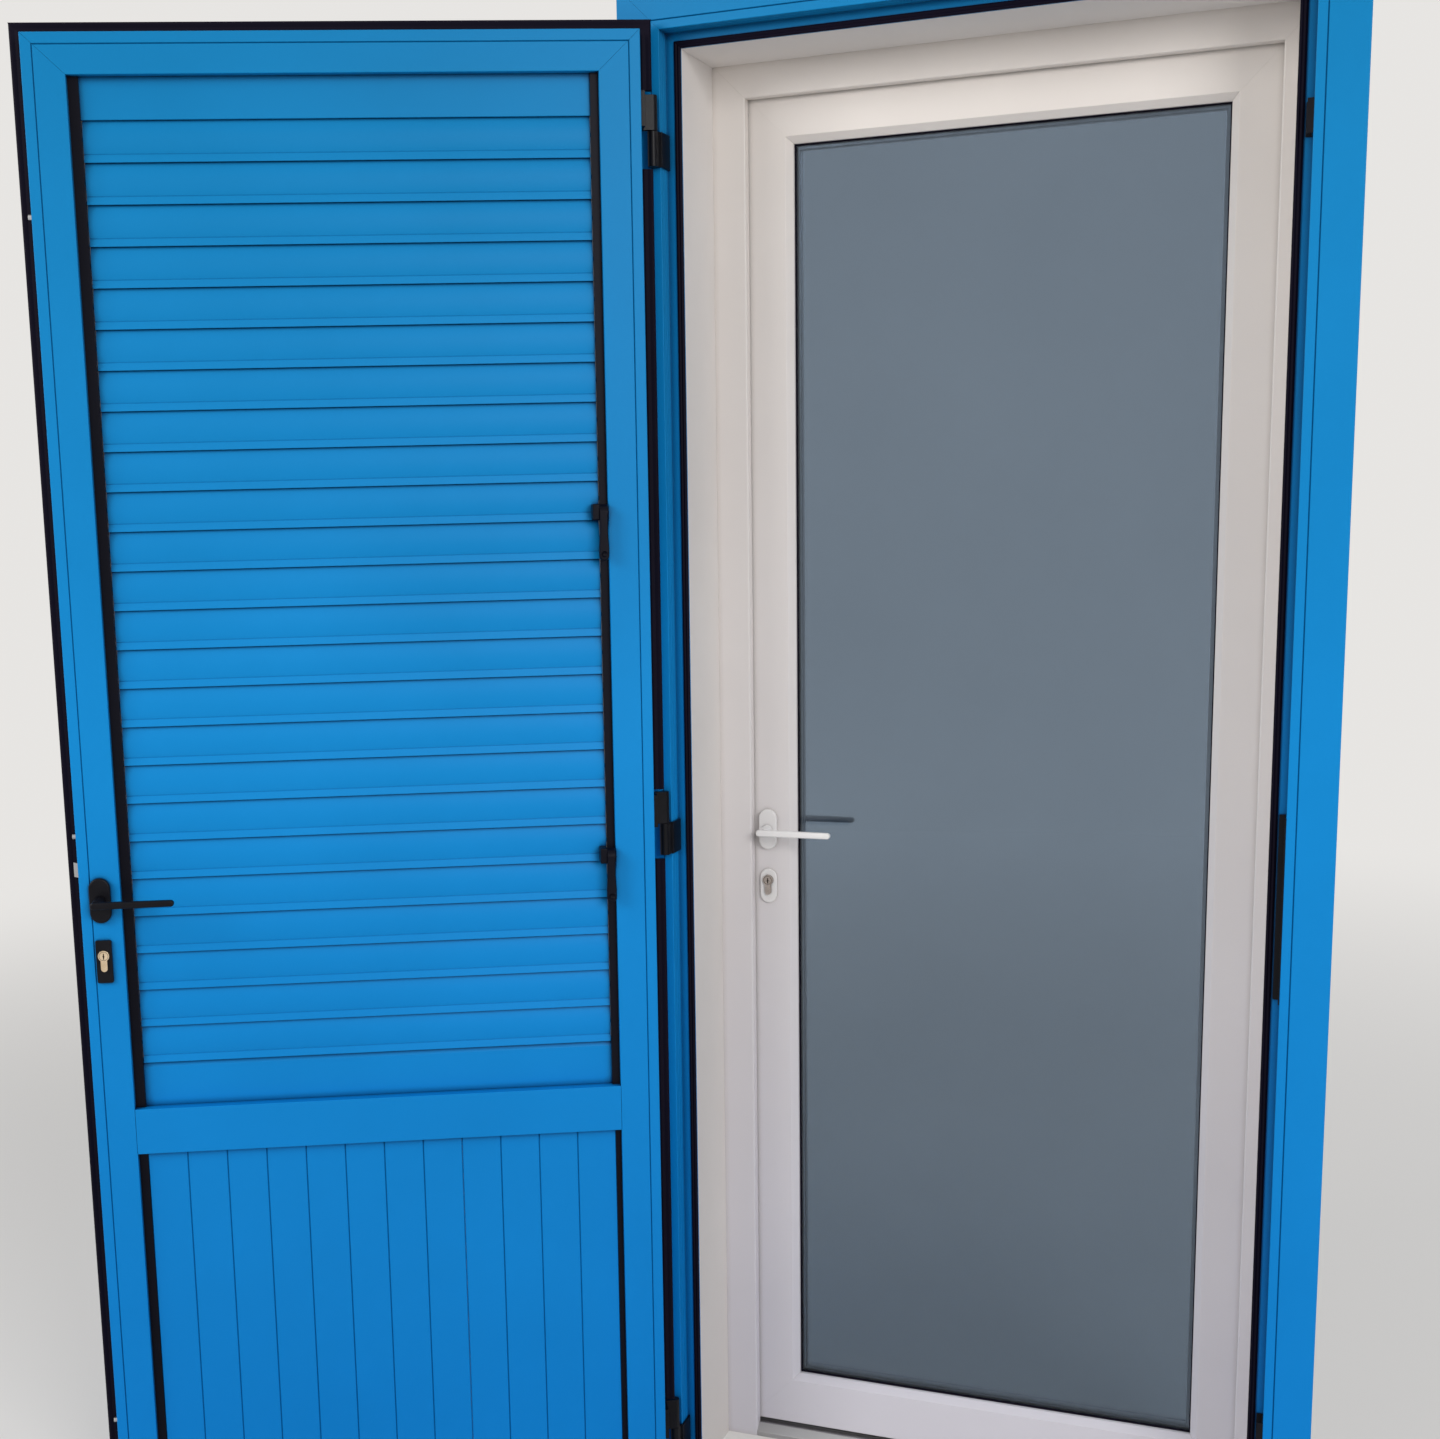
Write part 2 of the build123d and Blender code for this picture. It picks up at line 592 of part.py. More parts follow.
def leaf_bars():
    groove = STILE_WIDTH - LEAF_GROOVE_IN
    half = GROOVE_WIDTH / 2
    outline = [(0, LEAF_STREET), (STILE_WIDTH + FLANGE_WIDTH, LEAF_STREET),
               (STILE_WIDTH + FLANGE_WIDTH, FLANGE_BACK), (STILE_WIDTH, FLANGE_BACK),
               (STILE_WIDTH, LEAF_INSIDE), (groove + half, LEAF_INSIDE),
               (groove, LEAF_INSIDE - GROOVE_DEPTH), (groove - half, LEAF_INSIDE),
               (0, LEAF_INSIDE)]
    wall = METAL_WALL
    hollow = [(wall, STILE_WIDTH - wall, LEAF_STREET + wall, LEAF_INSIDE - GROOVE_DEPTH - wall)]
    slope = RAIL_HEIGHT / STILE_WIDTH
    section = profile(outline, hollow)
    bars = mitred(section, FIELD_START, FIELD_END, FIELD_FOOT, FIELD_TOP, 0.0, slope=slope,
                  foot_slope=slope)
    # the rails are lower than the stiles are wide, so their own section is that much narrower
    shift = STILE_WIDTH - RAIL_HEIGHT
    rail = profile([(max(a - shift, 0) if a else 0, y) for a, y in outline],
                   [(wall, RAIL_HEIGHT - wall, hollow[0][2], hollow[0][3])])
    rails = mitred(rail, FIELD_START, FIELD_END, FIELD_FOOT, FIELD_TOP, 0.0, slope=slope,
                   foot_slope=slope)
    bars["top"] = rails["top"]
    below = box(-REACH, LEAF_END + REACH, -REACH, REACH, -REACH, LEAF_FLOOR_GAP)
    bars["foot"] = rails["foot"] - below
    return {side: (shape - below) for side, shape in bars.items()}


def hinge_notches():
    # room in the flange and its gasket for both knuckles of each hinge
    return [box(-REACH, LEAF_START, LEAF_STREET - CUT, FACE_V + CUT,
                height - KNUCKLE_HEIGHT - HINGE_NOTCH_GAP, height + KNUCKLE_HEIGHT + HINGE_NOTCH_GAP)
            for height in HINGE_HEIGHTS]


def hinge_stile(bars):
    stile = bars["left"]
    for notch in hinge_notches():
        stile -= notch
    return [stile]


def cylinder_outline(gap):
    # round head with a narrower tail below it, drawn in X and Z about the head's centre
    head = RegularPolygon(CYLINDER_RADIUS + gap, ROUND_COUNT)
    tail_radius = CYLINDER_TAIL_WIDTH / 2 + gap
    tail = slot_face(CYLINDER_DROP + 2 * tail_radius, 2 * tail_radius)
    return head + Pos(0, -CYLINDER_DROP / 2) * Rot(0, 0, 90) * tail


def cylinder_bar(x, z, y0, y1, gap=0.0):
    plane = Plane(origin=(x, y1, z), x_dir=(1, 0, 0), z_dir=(0, -1, 0))
    return extrude(plane * cylinder_outline(gap), amount=y1 - y0, dir=plane.z_dir)


def cylinder_window(x, z, y0, y1):
    # plain opening for the cylinder in a wall that an escutcheon covers
    side = CYLINDER_RADIUS + CYLINDER_GAP
    foot = CYLINDER_DROP + CYLINDER_TAIL_WIDTH / 2 + CYLINDER_GAP
    return box(x - side, x + side, y0, y1, z - foot, z + side)


def spindle_window(x, z, y0, y1):
    return box(x - SPINDLE_HOLE, x + SPINDLE_HOLE, y0, y1, z - SPINDLE_HOLE, z + SPINDLE_HOLE)


def lock_stile(bars):
    stile = bars["right"]
    middle = LEAF_MIDDLE
    wall = LEAF_END - METAL_WALL - CUT
    stile -= spindle_window(LOCK_U, HANDLE_HEIGHT, middle, LEAF_INSIDE + CUT)
    stile -= cylinder_bar(LOCK_U, LOCK_HEIGHT, LEAF_STREET - CUT, middle)
    stile -= cylinder_window(LOCK_U, LOCK_HEIGHT, middle, LEAF_INSIDE + CUT)
    stile -= box(wall, LEAF_END + CUT, middle - FACEPLATE_WIDTH / 2,
                 middle + FACEPLATE_WIDTH / 2, HANDLE_HEIGHT - FACEPLATE_BELOW,
                 HANDLE_HEIGHT + FACEPLATE_ABOVE)
    slot = CAM_RADIUS + CAM_SLOT_CLEARANCE
    for height in CAM_HEIGHTS:
        stile -= box(wall, LEAF_END + CUT, middle - slot, middle + slot,
                     height - slot, height + BOLT_TRAVEL + slot)
    return [stile]


def mid_rail():
    wall = METAL_WALL
    outline = [(LEAF_STREET, MID_RAIL_FOOT), (LEAF_INSIDE, MID_RAIL_FOOT),
               (LEAF_INSIDE, MID_RAIL_TOP), (LEAF_STREET, MID_RAIL_TOP)]
    rail = side_prism(outline, FIELD_START, FIELD_END)
    rail -= box(FIELD_START - CUT, FIELD_END + CUT, LEAF_STREET + wall, LEAF_INSIDE - wall,
                MID_RAIL_FOOT + wall, MID_RAIL_TOP - wall)
    return [rail]


def leaf_gasket():
    # seal on the room side of the flange, on the two stiles and the top rail
    height = FACE_V - SEAL_CLEARANCE
    low = STILE_WIDTH
    high = STILE_WIDTH + FLANGE_WIDTH
    strip = [(low, FLANGE_BACK), (high, FLANGE_BACK), (high, height - LEAF_GASKET_ROUND),
             (high - LEAF_GASKET_ROUND, height), (low + LEAF_GASKET_SLOPE, height),
             (low, height - LEAF_GASKET_FALL)]
    side = mitred(profile(strip), FIELD_START, FIELD_END, FIELD_FOOT, FIELD_TOP, 0.0,
                  slope=RAIL_HEIGHT / STILE_WIDTH, floor=LEAF_FLOOR_GAP)
    shift = STILE_WIDTH - RAIL_HEIGHT
    head_strip = [(a - shift, y) for a, y in strip]
    head = mitred(profile(head_strip), FIELD_START, FIELD_END, FIELD_FOOT, FIELD_TOP, 0.0,
                  slope=RAIL_HEIGHT / STILE_WIDTH, floor=LEAF_FLOOR_GAP)["top"]
    left = side["left"]
    for notch in hinge_notches():
        left -= notch
    return [left, side["right"], head]


def channel(u0, u1, bearing_left, z0, z1):
    # hollow strip between stile and slats; the thicker wall carries the pivots
    wall_left = BEARING_PLATE if bearing_left else CHANNEL_WALL
    wall_right = CHANNEL_WALL if bearing_left else BEARING_PLATE
    strip = box(u0, u1, CHANNEL_BACK, CHANNEL_FRONT, z0, z1)
    return strip - box(u0 + wall_left, u1 - wall_right, CHANNEL_BACK + CHANNEL_WALL,
                       CHANNEL_FRONT - CHANNEL_WALL, z0 - CUT, z1 + CUT)


def side_channels():
    hinge_side = channel(FIELD_START, FIELD_START + CHANNEL_HINGE_SIDE, False,
                         MID_RAIL_TOP, FIELD_TOP)
    lock_side = channel(FIELD_END - CHANNEL_LOCK_SIDE, FIELD_END, True, MID_RAIL_TOP, FIELD_TOP)
    hole = PIVOT_RADIUS + PIVOT_CLEARANCE
    deep = SLAT_END_GAP + BEARING_PLATE + PIVOT_CLEARANCE
    cutters = [box(u0, u1, SLAT_AXIS_DEPTH - hole, SLAT_AXIS_DEPTH + hole, z - hole, z + hole)
               for z in slat_heights()
               for u0, u1 in ((SLAT_START - deep, SLAT_START), (SLAT_END, SLAT_END + deep))]
    hinge_side -= cutters[0::2]
    lock_side -= cutters[1::2]
    edges = [box(FIELD_START, FIELD_START + PANEL_EDGE_HINGE_SIDE, CHANNEL_BACK, CHANNEL_FRONT,
                 FIELD_FOOT, MID_RAIL_FOOT),
             box(FIELD_END - PANEL_EDGE_LOCK_SIDE, FIELD_END, CHANNEL_BACK, CHANNEL_FRONT,
                 FIELD_FOOT, MID_RAIL_FOOT)]
    return [hinge_side, lock_side] + edges


# Slats

def slat_heights():
    return [SLATS_TOP - SLAT_PITCH * (index + 1) + SLAT_HALF_CHORD for index in range(SLAT_COUNT)]


def slat_outline():
    # S-shaped blade: the lip at the lower edge stands towards the room, and the upper edge is
    # its mirror image, so that each lip laps over the next slat
    chord = SLAT_HALF_CHORD
    nose = (SLAT_NOSE, -chord)
    crease = (SLAT_CREASE, -chord + SLAT_LIP)
    bulge = (SLAT_BULGE, -BULGE_DROP)
    upper = (-SLAT_OVERLAP_GAP, chord - SLAT_TIP)
    far_nose = (-SLAT_NOSE, chord)

    def turned(point):
        return (-point[0], -point[1])
    edges = [Line(nose, crease), ThreePointArc(crease, bulge, upper), Line(upper, far_nose),
             Line(far_nose, turned(crease)),
             ThreePointArc(turned(crease), turned(bulge), turned(upper)),
             Line(turned(upper), nose)]
    return make_face(edges)


def slat(z):
    plane = Plane(origin=(SLAT_START, SLAT_AXIS_DEPTH, z), x_dir=(0, 1, 0), z_dir=(1, 0, 0))
    blade = extrude(plane * slat_outline(), amount=SLAT_END - SLAT_START, dir=plane.z_dir)
    crank_face = FIELD_START + CHANNEL_HINGE_SIDE - BEARING_PLATE - ROD_GAP
    crank_back = crank_face - CRANK_THICKNESS
    pin_tip = crank_back - ROD_GAP - ROD_THICKNESS - ROD_GAP
    pin_y, pin_z = crank_pin(z)
    blade += rod_x(SLAT_AXIS_DEPTH, z, PIVOT_RADIUS, crank_back, SLAT_START, PIN_COUNT)
    blade += rod_x(SLAT_AXIS_DEPTH, z, PIVOT_RADIUS, SLAT_END, SLAT_END + PIVOT_LENGTH, PIN_COUNT)
    half = CRANK_HALF_WIDTH
    arm = Plane(origin=(crank_back, SLAT_AXIS_DEPTH, z), x_dir=(0, 1, 0), z_dir=(1, 0, 0))
    plate = Rot(0, 0, CRANK_START_ANGLE) * Polygon(
        (-half, -half), (CRANK_RADIUS + half, -half), (CRANK_RADIUS + half, half), (-half, half),
        align=None)
    blade += extrude(arm * plate, amount=CRANK_THICKNESS, dir=arm.z_dir)
    blade += rod_x(pin_y, pin_z, CRANK_PIN_RADIUS, pin_tip, crank_back, PIN_COUNT)
    return blade


def crank_pin(z):
    angle = radians(CRANK_START_ANGLE)
    return SLAT_AXIS_DEPTH + CRANK_RADIUS * cos(angle), z + CRANK_RADIUS * sin(angle)


def tie_rod(heights):
    outer = FIELD_START + CHANNEL_HINGE_SIDE - BEARING_PLATE - ROD_GAP - CRANK_THICKNESS - ROD_GAP
    pins = [crank_pin(z) for z in heights]
    y = pins[0][0]
    low = min(z for depth, z in pins) - ROD_END
    high = max(z for depth, z in pins) + ROD_END
    rod = box(outer - ROD_THICKNESS, outer, y - ROD_WIDTH / 2, y + ROD_WIDTH / 2, low, high)
    hole = CRANK_PIN_RADIUS + CRANK_PIN_CLEARANCE
    holes = [box(outer - ROD_THICKNESS - CUT, outer + CUT, y - hole, y + hole, z - hole, z + hole)
             for depth, z in pins]
    return rod - holes


def grip(z):
    # clip on the slat's lip, round boss in front of the channel and lever hanging from it
    axis_y = SLAT_AXIS_DEPTH
    boss_y = axis_y + GRIP_BOSS_OUT
    boss_z = z - GRIP_BOSS_DOWN
    start = FIELD_START + GRIP_EDGE_GAP
    boss = rod_x(boss_y, boss_z, GRIP_BOSS_RADIUS, start, start + GRIP_WIDTH - GRIP_BOSS_SHORTER,
                 ROUND_COUNT)
    front = boss_y + GRIP_BOSS_RADIUS
    back = front - GRIP_THICKNESS
    bend = GRIP_BEND
    tip = z - GRIP_LENGTH
    lever_points = [(front - 2 * bend, boss_z), (front - bend, boss_z - GRIP_WAIST),
                    (front + bend, tip + GRIP_TIP_RISE), (front - 2 * bend, tip),
                    (back + 2 * bend, tip), (back - bend, tip + GRIP_TIP_RISE),
                    (back - 4 * bend, boss_z)]
    lever = side_prism(lever_points, start, start + GRIP_WIDTH)
    lip = axis_y + SLAT_NOSE
    clip_start = SLAT_START + GRIP_CLIP_GAP
    foot = z - SLAT_HALF_CHORD
    clip = box(clip_start, clip_start + GRIP_CLIP_WIDTH, lip, boss_y + GRIP_CLIP_REACH, foot,
               foot + GRIP_CLIP_HEIGHT)
    return boss + lever + clip


def slat_fillers():
    gap = SLAT_OVERLAP_GAP
    middle = SLAT_AXIS_DEPTH
    u0 = SLAT_START - SLAT_END_GAP
    u1 = SLAT_END + SLAT_END_GAP
    step = SLATS_TOP + SLAT_OVERLAP + FILLER_STEP_GAP
    top = [(FILLER_BACK, FIELD_TOP), (FILLER_FRONT, FIELD_TOP), (FILLER_FRONT, SLATS_TOP),
           (middle + gap, SLATS_TOP), (middle + gap, step), (FILLER_BACK, step)]
    line = MID_RAIL_TOP + BOTTOM_FILLER
    ledge = middle + FILLER_LEDGE
    foot = [(FILLER_BACK, MID_RAIL_TOP), (ledge, MID_RAIL_TOP), (ledge, line - FILLER_SLOPE),
            (middle - gap, line), (middle - gap, line + SLAT_OVERLAP), (FILLER_BACK, line + SLAT_OVERLAP)]
    return [side_prism(top, u0, u1), side_prism(foot, u0, u1)]


def stave_panel():
    u0 = FIELD_START + PANEL_EDGE_HINGE_SIDE
    u1 = FIELD_END - PANEL_EDGE_LOCK_SIDE
    width = (u1 - u0) / STAVE_COUNT
    back = STAVE_FRONT - STAVE_THICKNESS
    half = STAVE_GROOVE / 2
    staves = []
    for index in range(STAVE_COUNT):
        start = u0 + index * width
        end = start + width
        outline = [(start, back), (end, back), (end, STAVE_FRONT - half), (end - half, STAVE_FRONT),
                   (start + half, STAVE_FRONT), (start, STAVE_FRONT - half)]
        staves.append(plan_prism(outline, FIELD_FOOT, MID_RAIL_FOOT))
    return staves


# Leaf hinges and lock

def hinge_leaves():
    shapes = []
    for height in HINGE_HEIGHTS:
        low = height + KNUCKLE_GAP / 2
        high = height + KNUCKLE_HEIGHT
        arm = box(0, LEAF_START, LEAF_STREET, KNUCKLE_RADIUS, low, high)
        plate = box(LEAF_START - LEAF_PLATE, LEAF_START, LEAF_STREET, LEAF_INSIDE - LEAF_PLATE_INSET,
                    low, high)
        shape = arm + plate + rod_z(0, 0, KNUCKLE_RADIUS, low, high, ROUND_COUNT)
        shapes.append(shape - rod_z(0, 0, HINGE_PIN_RADIUS + HINGE_PIN_CLEARANCE, low - CUT,
                                    high - PIN_SHORTER + PIN_END_GAP))
    return shapes


def lever(plane, length):
    # neck, flat lever and square spindle; the plane lies on the stile with its normal outwards
    neck_foot = ROSE_THICKNESS + NECK_CLEARANCE
    neck_length = LEVER_REACH - neck_foot
    neck = Pos(0, 0, neck_foot + neck_length / 2) * rod(NECK_RADIUS, neck_length, ROUND_COUNT)
    blade = Pos(length / 2, 0, LEVER_REACH - LEVER_THICKNESS) * extrude(
        slot_face(length + 2 * NECK_RADIUS, LEVER_HEIGHT), amount=LEVER_THICKNESS)
    half = SPINDLE / 2
    spindle = box(-half, half, -half, half, -SPINDLE_DEPTH, neck_foot + SPINDLE_IN_NECK)
    return plane * (neck + blade + spindle)


def rose(plane, width, length):
    plate = extrude(Rot(0, 0, 90) * slot_face(length, width), amount=ROSE_THICKNESS)
    plate = chamfer(plate.faces().sort_by(Axis.Z)[-1].edges(), FURNITURE_CHAMFER)
    hole = SPINDLE_HOLE
    return plane * (plate - box(-hole, hole, -hole, hole, -CUT, ROSE_THICKNESS + CUT))


def leaf_handle_plane():
    return Plane(origin=(LOCK_U, LEAF_INSIDE, HANDLE_HEIGHT), x_dir=(-1, 0, 0), z_dir=(0, 1, 0))


def shutter_handle():
    return [lever(leaf_handle_plane(), LEVER_LENGTH)]


def shutter_lock_plates():
    centre = LOCK_HEIGHT - CYLINDER_DROP / 2
    plate = box(LOCK_U - ESCUTCHEON_WIDTH / 2, LOCK_U + ESCUTCHEON_WIDTH / 2, LEAF_INSIDE,
                LEAF_INSIDE + ESCUTCHEON_THICKNESS, centre - ESCUTCHEON_HEIGHT / 2,
                centre + ESCUTCHEON_HEIGHT / 2)
    plate = chamfer(plate.faces().sort_by(Axis.Y)[-1].edges(), FURNITURE_CHAMFER)
    plate -= cylinder_bar(LOCK_U, LOCK_HEIGHT, LEAF_INSIDE - CUT,
                          LEAF_INSIDE + ESCUTCHEON_THICKNESS + CUT, CYLINDER_GAP)
    return [rose(leaf_handle_plane(), ROSE_WIDTH, ROSE_LENGTH), plate]


def key_slot(x, z, y0, y1):
    half = KEY_SLOT_WIDTH / 2
    return box(x - half, x + half, y0, y1, z - KEY_SLOT_BELOW, z + KEY_SLOT_ABOVE)


def shutter_lock():
    # faceplate in the stile's edge, case behind the bolt bar, and the profile cylinder
    middle = LEAF_MIDDLE
    half = FACEPLATE_WIDTH / 2
    faceplate = box(LEAF_END - FACEPLATE_THICKNESS, LEAF_END, middle - half, middle + half,
                    HANDLE_HEIGHT - FACEPLATE_BELOW, HANDLE_HEIGHT + FACEPLATE_ABOVE)
    slot = CAM_RADIUS + CAM_SLOT_CLEARANCE
    faceplate -= box(LEAF_END - FACEPLATE_THICKNESS - CUT, LEAF_END + CUT, middle - slot,
                     middle + slot, MIDDLE_CAM_HEIGHT - slot, MIDDLE_CAM_HEIGHT + BOLT_TRAVEL + slot)
    latch = latch_box(LATCH_CLEARANCE, LATCH_THROW + LATCH_CLEARANCE)
    faceplate -= latch
    bar_back = LEAF_END - FACEPLATE_THICKNESS - 2 * BOLT_BAR_GAP - BOLT_BAR_THICKNESS
    case = box(bar_back - CASE_DEPTH, bar_back, middle - CASE_THICKNESS / 2,
               middle + CASE_THICKNESS / 2, HANDLE_HEIGHT - CASE_BELOW, HANDLE_HEIGHT + CASE_ABOVE)
    case -= spindle_window(LOCK_U, HANDLE_HEIGHT, LEAF_STREET, LEAF_INSIDE)
    case -= latch
    case -= cylinder_window(LOCK_U, LOCK_HEIGHT, LEAF_STREET, LEAF_INSIDE)
    tip = LEAF_INSIDE + CYLINDER_PROUD
    barrel = cylinder_bar(LOCK_U, LOCK_HEIGHT, LEAF_STREET - CYLINDER_STREET, tip)
    barrel -= key_slot(LOCK_U, LOCK_HEIGHT, tip - KEY_SLOT_DEPTH, tip + CUT)
    return [faceplate, case, barrel]


def latch_box(gap, room=0.0):
    middle = LEAF_MIDDLE
    z = HANDLE_HEIGHT + LATCH_ABOVE
    return box(LEAF_END - LATCH_TAIL - room, LEAF_END + LATCH_THROW, middle - LATCH_THICKNESS / 2 - gap,
               middle + LATCH_THICKNESS / 2 + gap, z - LATCH_HEIGHT / 2 - gap, z + LATCH_HEIGHT / 2 + gap)


def shutter_latch():
    latch = latch_box(0.0)
    tip = LEAF_END + LATCH_THROW
    middle = LEAF_MIDDLE
    half = LATCH_THICKNESS / 2
    ramp = [(tip + CUT, middle + half + CUT), (tip - LATCH_THROW + LATCH_FLAT, middle + half + CUT),
            (tip + CUT, middle - half + LATCH_NOSE)]
    return [latch - plan_prism(ramp, HANDLE_HEIGHT, HANDLE_HEIGHT + 2 * LATCH_ABOVE)]


def bolt_bar():
    # flat bar behind the faceplate with its cams; the latch passes through a slot in it
    outer = LEAF_END - FACEPLATE_THICKNESS - BOLT_BAR_GAP
    inner = outer - BOLT_BAR_THICKNESS
    middle = LEAF_MIDDLE
    half = BOLT_BAR_WIDTH / 2
    low = min(CAM_HEIGHTS) - BOLT_BAR_END
    high = max(CAM_HEIGHTS) + BOLT_BAR_END
    strip = box(inner, outer, middle - half, middle + half, low, high)
    z = HANDLE_HEIGHT + LATCH_ABOVE
    room = LATCH_HEIGHT / 2 + 2 * LATCH_WINDOW_GAP
    strip -= box(inner - CUT, outer + CUT, middle - LATCH_THICKNESS / 2 - LATCH_WINDOW_GAP,
                 middle + half + CUT, z - room - BOLT_TRAVEL, z + room)
    for height in CAM_HEIGHTS:
        strip += rod_x(middle, height, CAM_RADIUS, outer, LEAF_END + CAM_PROUD, END_COUNT)
    return [strip]


# Sash

def sash_outline(width, lip):
    bevel_back = SASH_OUT + BEVEL_DEPTH
    outline = [(0, GLASS_OUT), (0, bevel_back), (GLAZING_BEVEL, SASH_OUT), (width, SASH_OUT)]
    if lip:
        outline += [(width, FRAME_IN + SASH_LIP_GAP), (width + lip, FRAME_IN + SASH_LIP_GAP),
                    (width + lip, SASH_IN)]
    else:
        outline += [(width, SASH_IN)]
    outline += [(SASH_CHAMFER, SASH_IN), (0, SASH_IN - SASH_CHAMFER), (0, GLASS_IN),
                (GLASS_POCKET, GLASS_IN), (GLASS_POCKET, GLASS_OUT)]
    hollow = [(GLASS_POCKET + PVC_WALL, width - PVC_WALL, SASH_OUT + PVC_WALL, SASH_IN - PVC_WALL)]
    return profile(outline, hollow)


def sash_frame():
    foot_slope = SASH_BOTTOM / SASH_WIDTH
    ring = mitred(sash_outline(SASH_WIDTH, SASH_LIP), -GLASS_EDGE, GLASS_EDGE, GLASS_FOOT, GLASS_TOP,
                  1.0, foot_slope=foot_slope)
    foot = mitred(sash_outline(SASH_BOTTOM, 0), -GLASS_EDGE, GLASS_EDGE, GLASS_FOOT, GLASS_TOP,
                  1.0, foot_slope=foot_slope)["foot"]
    below = box(-2 * REACH, 2 * REACH, -REACH, REACH, -REACH, SASH_FOOT)
    sash = fuse([ring["left"] - below, ring["right"] - below, ring["top"], foot])
    z = WINDOW_HANDLE_HEIGHT
    sash -= spindle_window(WINDOW_LOCK_X, z, SASH_OUT - CUT, SASH_IN + CUT)
    sash -= cylinder_window(WINDOW_LOCK_X, z - LOCK_CENTRES, SASH_OUT - CUT, SASH_IN + CUT)
    sash -= window_latch_box(LATCH_CLEARANCE, WINDOW_LATCH_THROW + LATCH_CLEARANCE)
    sash -= window_case()
    return [sash]


def window_case():
    half = CASE_THICKNESS / 2
    return box(-SASH_EDGE, -SASH_EDGE + WINDOW_CASE_BACKSET, SASH_MIDDLE - half,
               SASH_MIDDLE + half, WINDOW_HANDLE_HEIGHT - CASE_BELOW, WINDOW_HANDLE_HEIGHT + CASE_ABOVE)


def window_latch_box(gap, room=0.0):
    half = LATCH_THICKNESS / 2 + gap
    tall = LATCH_HEIGHT / 2 + gap
    return box(-SASH_EDGE - WINDOW_LATCH_THROW, -SASH_EDGE + LATCH_TAIL + room, SASH_MIDDLE - half,
               SASH_MIDDLE + half, WINDOW_HANDLE_HEIGHT - tall, WINDOW_HANDLE_HEIGHT + tall)


def window_lock():
    x = WINDOW_LOCK_X
    lock_z = WINDOW_HANDLE_HEIGHT - LOCK_CENTRES
    case = window_case()
    case -= window_latch_box(LATCH_CLEARANCE, WINDOW_LATCH_THROW + LATCH_CLEARANCE)
    case -= spindle_window(x, WINDOW_HANDLE_HEIGHT, SASH_OUT, SASH_IN)
    case -= cylinder_window(x, lock_z, SASH_OUT, SASH_IN)
    street = SASH_OUT - CYLINDER_PROUD
    room = SASH_IN + CYLINDER_PROUD
    barrel = cylinder_bar(x, lock_z, street, room)
    barrel -= key_slot(x, lock_z, street - CUT, street + KEY_SLOT_DEPTH)
    barrel -= key_slot(x, lock_z, room - KEY_SLOT_DEPTH, room + CUT)
    return [case, barrel]


def window_planes():
    z = WINDOW_HANDLE_HEIGHT
    return [Plane(origin=(WINDOW_LOCK_X, SASH_OUT, z), x_dir=(1, 0, 0), z_dir=(0, -1, 0)),
            Plane(origin=(WINDOW_LOCK_X, SASH_IN, z), x_dir=(1, 0, 0), z_dir=(0, 1, 0))]


def window_handle():
    street, room = window_planes()
    handle = lever(street, WINDOW_LEVER_LENGTH)
    handle += lever(room, WINDOW_LEVER_LENGTH)
    handle += box(WINDOW_LOCK_X - SPINDLE / 2, WINDOW_LOCK_X + SPINDLE / 2, SASH_OUT, SASH_IN,
                  WINDOW_HANDLE_HEIGHT - SPINDLE / 2, WINDOW_HANDLE_HEIGHT + SPINDLE / 2)
    return [handle]


def window_lock_plates():
    shapes = [rose(plane, WINDOW_ROSE_WIDTH, WINDOW_ROSE_LENGTH) for plane in window_planes()]
    lock_z = WINDOW_HANDLE_HEIGHT - LOCK_CENTRES
    centre = lock_z - CYLINDER_DROP / 2
    oval = Rot(0, 0, 90) * slot_face(WINDOW_ESCUTCHEON_HEIGHT, WINDOW_ESCUTCHEON_WIDTH)
    for y, way in ((SASH_OUT, -1), (SASH_IN, 1)):
        plane = Plane(origin=(WINDOW_LOCK_X, y, centre), x_dir=(1, 0, 0), z_dir=(0, way, 0))
        plate = extrude(oval, amount=ESCUTCHEON_THICKNESS)
        plate = plane * chamfer(plate.faces().sort_by(Axis.Z)[-1].edges(), FURNITURE_CHAMFER)
        shapes.append(plate - cylinder_bar(WINDOW_LOCK_X, lock_z, SASH_OUT - 2 * ESCUTCHEON_THICKNESS,
                                           SASH_IN + 2 * ESCUTCHEON_THICKNESS, CYLINDER_GAP))
    return shapes


def glass_unit():
    edge = GLASS_POCKET - GLASS_EDGE_GAP
    x = GLASS_EDGE + edge
    z0 = GLASS_FOOT - edge
    z1 = GLASS_TOP + edge
    panes = [box(-x, x, GLASS_OUT, GLASS_OUT + PANE, z0, z1),
             box(-x, x, GLASS_IN - PANE, GLASS_IN, z0, z1)]
    inner = GLASS_EDGE + edge - SPACER_EDGE
    ring = profile([(0, GLASS_OUT + PANE), (0, GLASS_IN - PANE),
                    (-SPACER_WIDTH, GLASS_IN - PANE), (-SPACER_WIDTH, GLASS_OUT + PANE)])
    bars = mitred(ring, -inner, inner, GLASS_FOOT - edge + SPACER_EDGE,
                  GLASS_TOP + edge - SPACER_EDGE, SPACER_WIDTH + CUT)
    return panes + [fuse(list(bars.values()))]


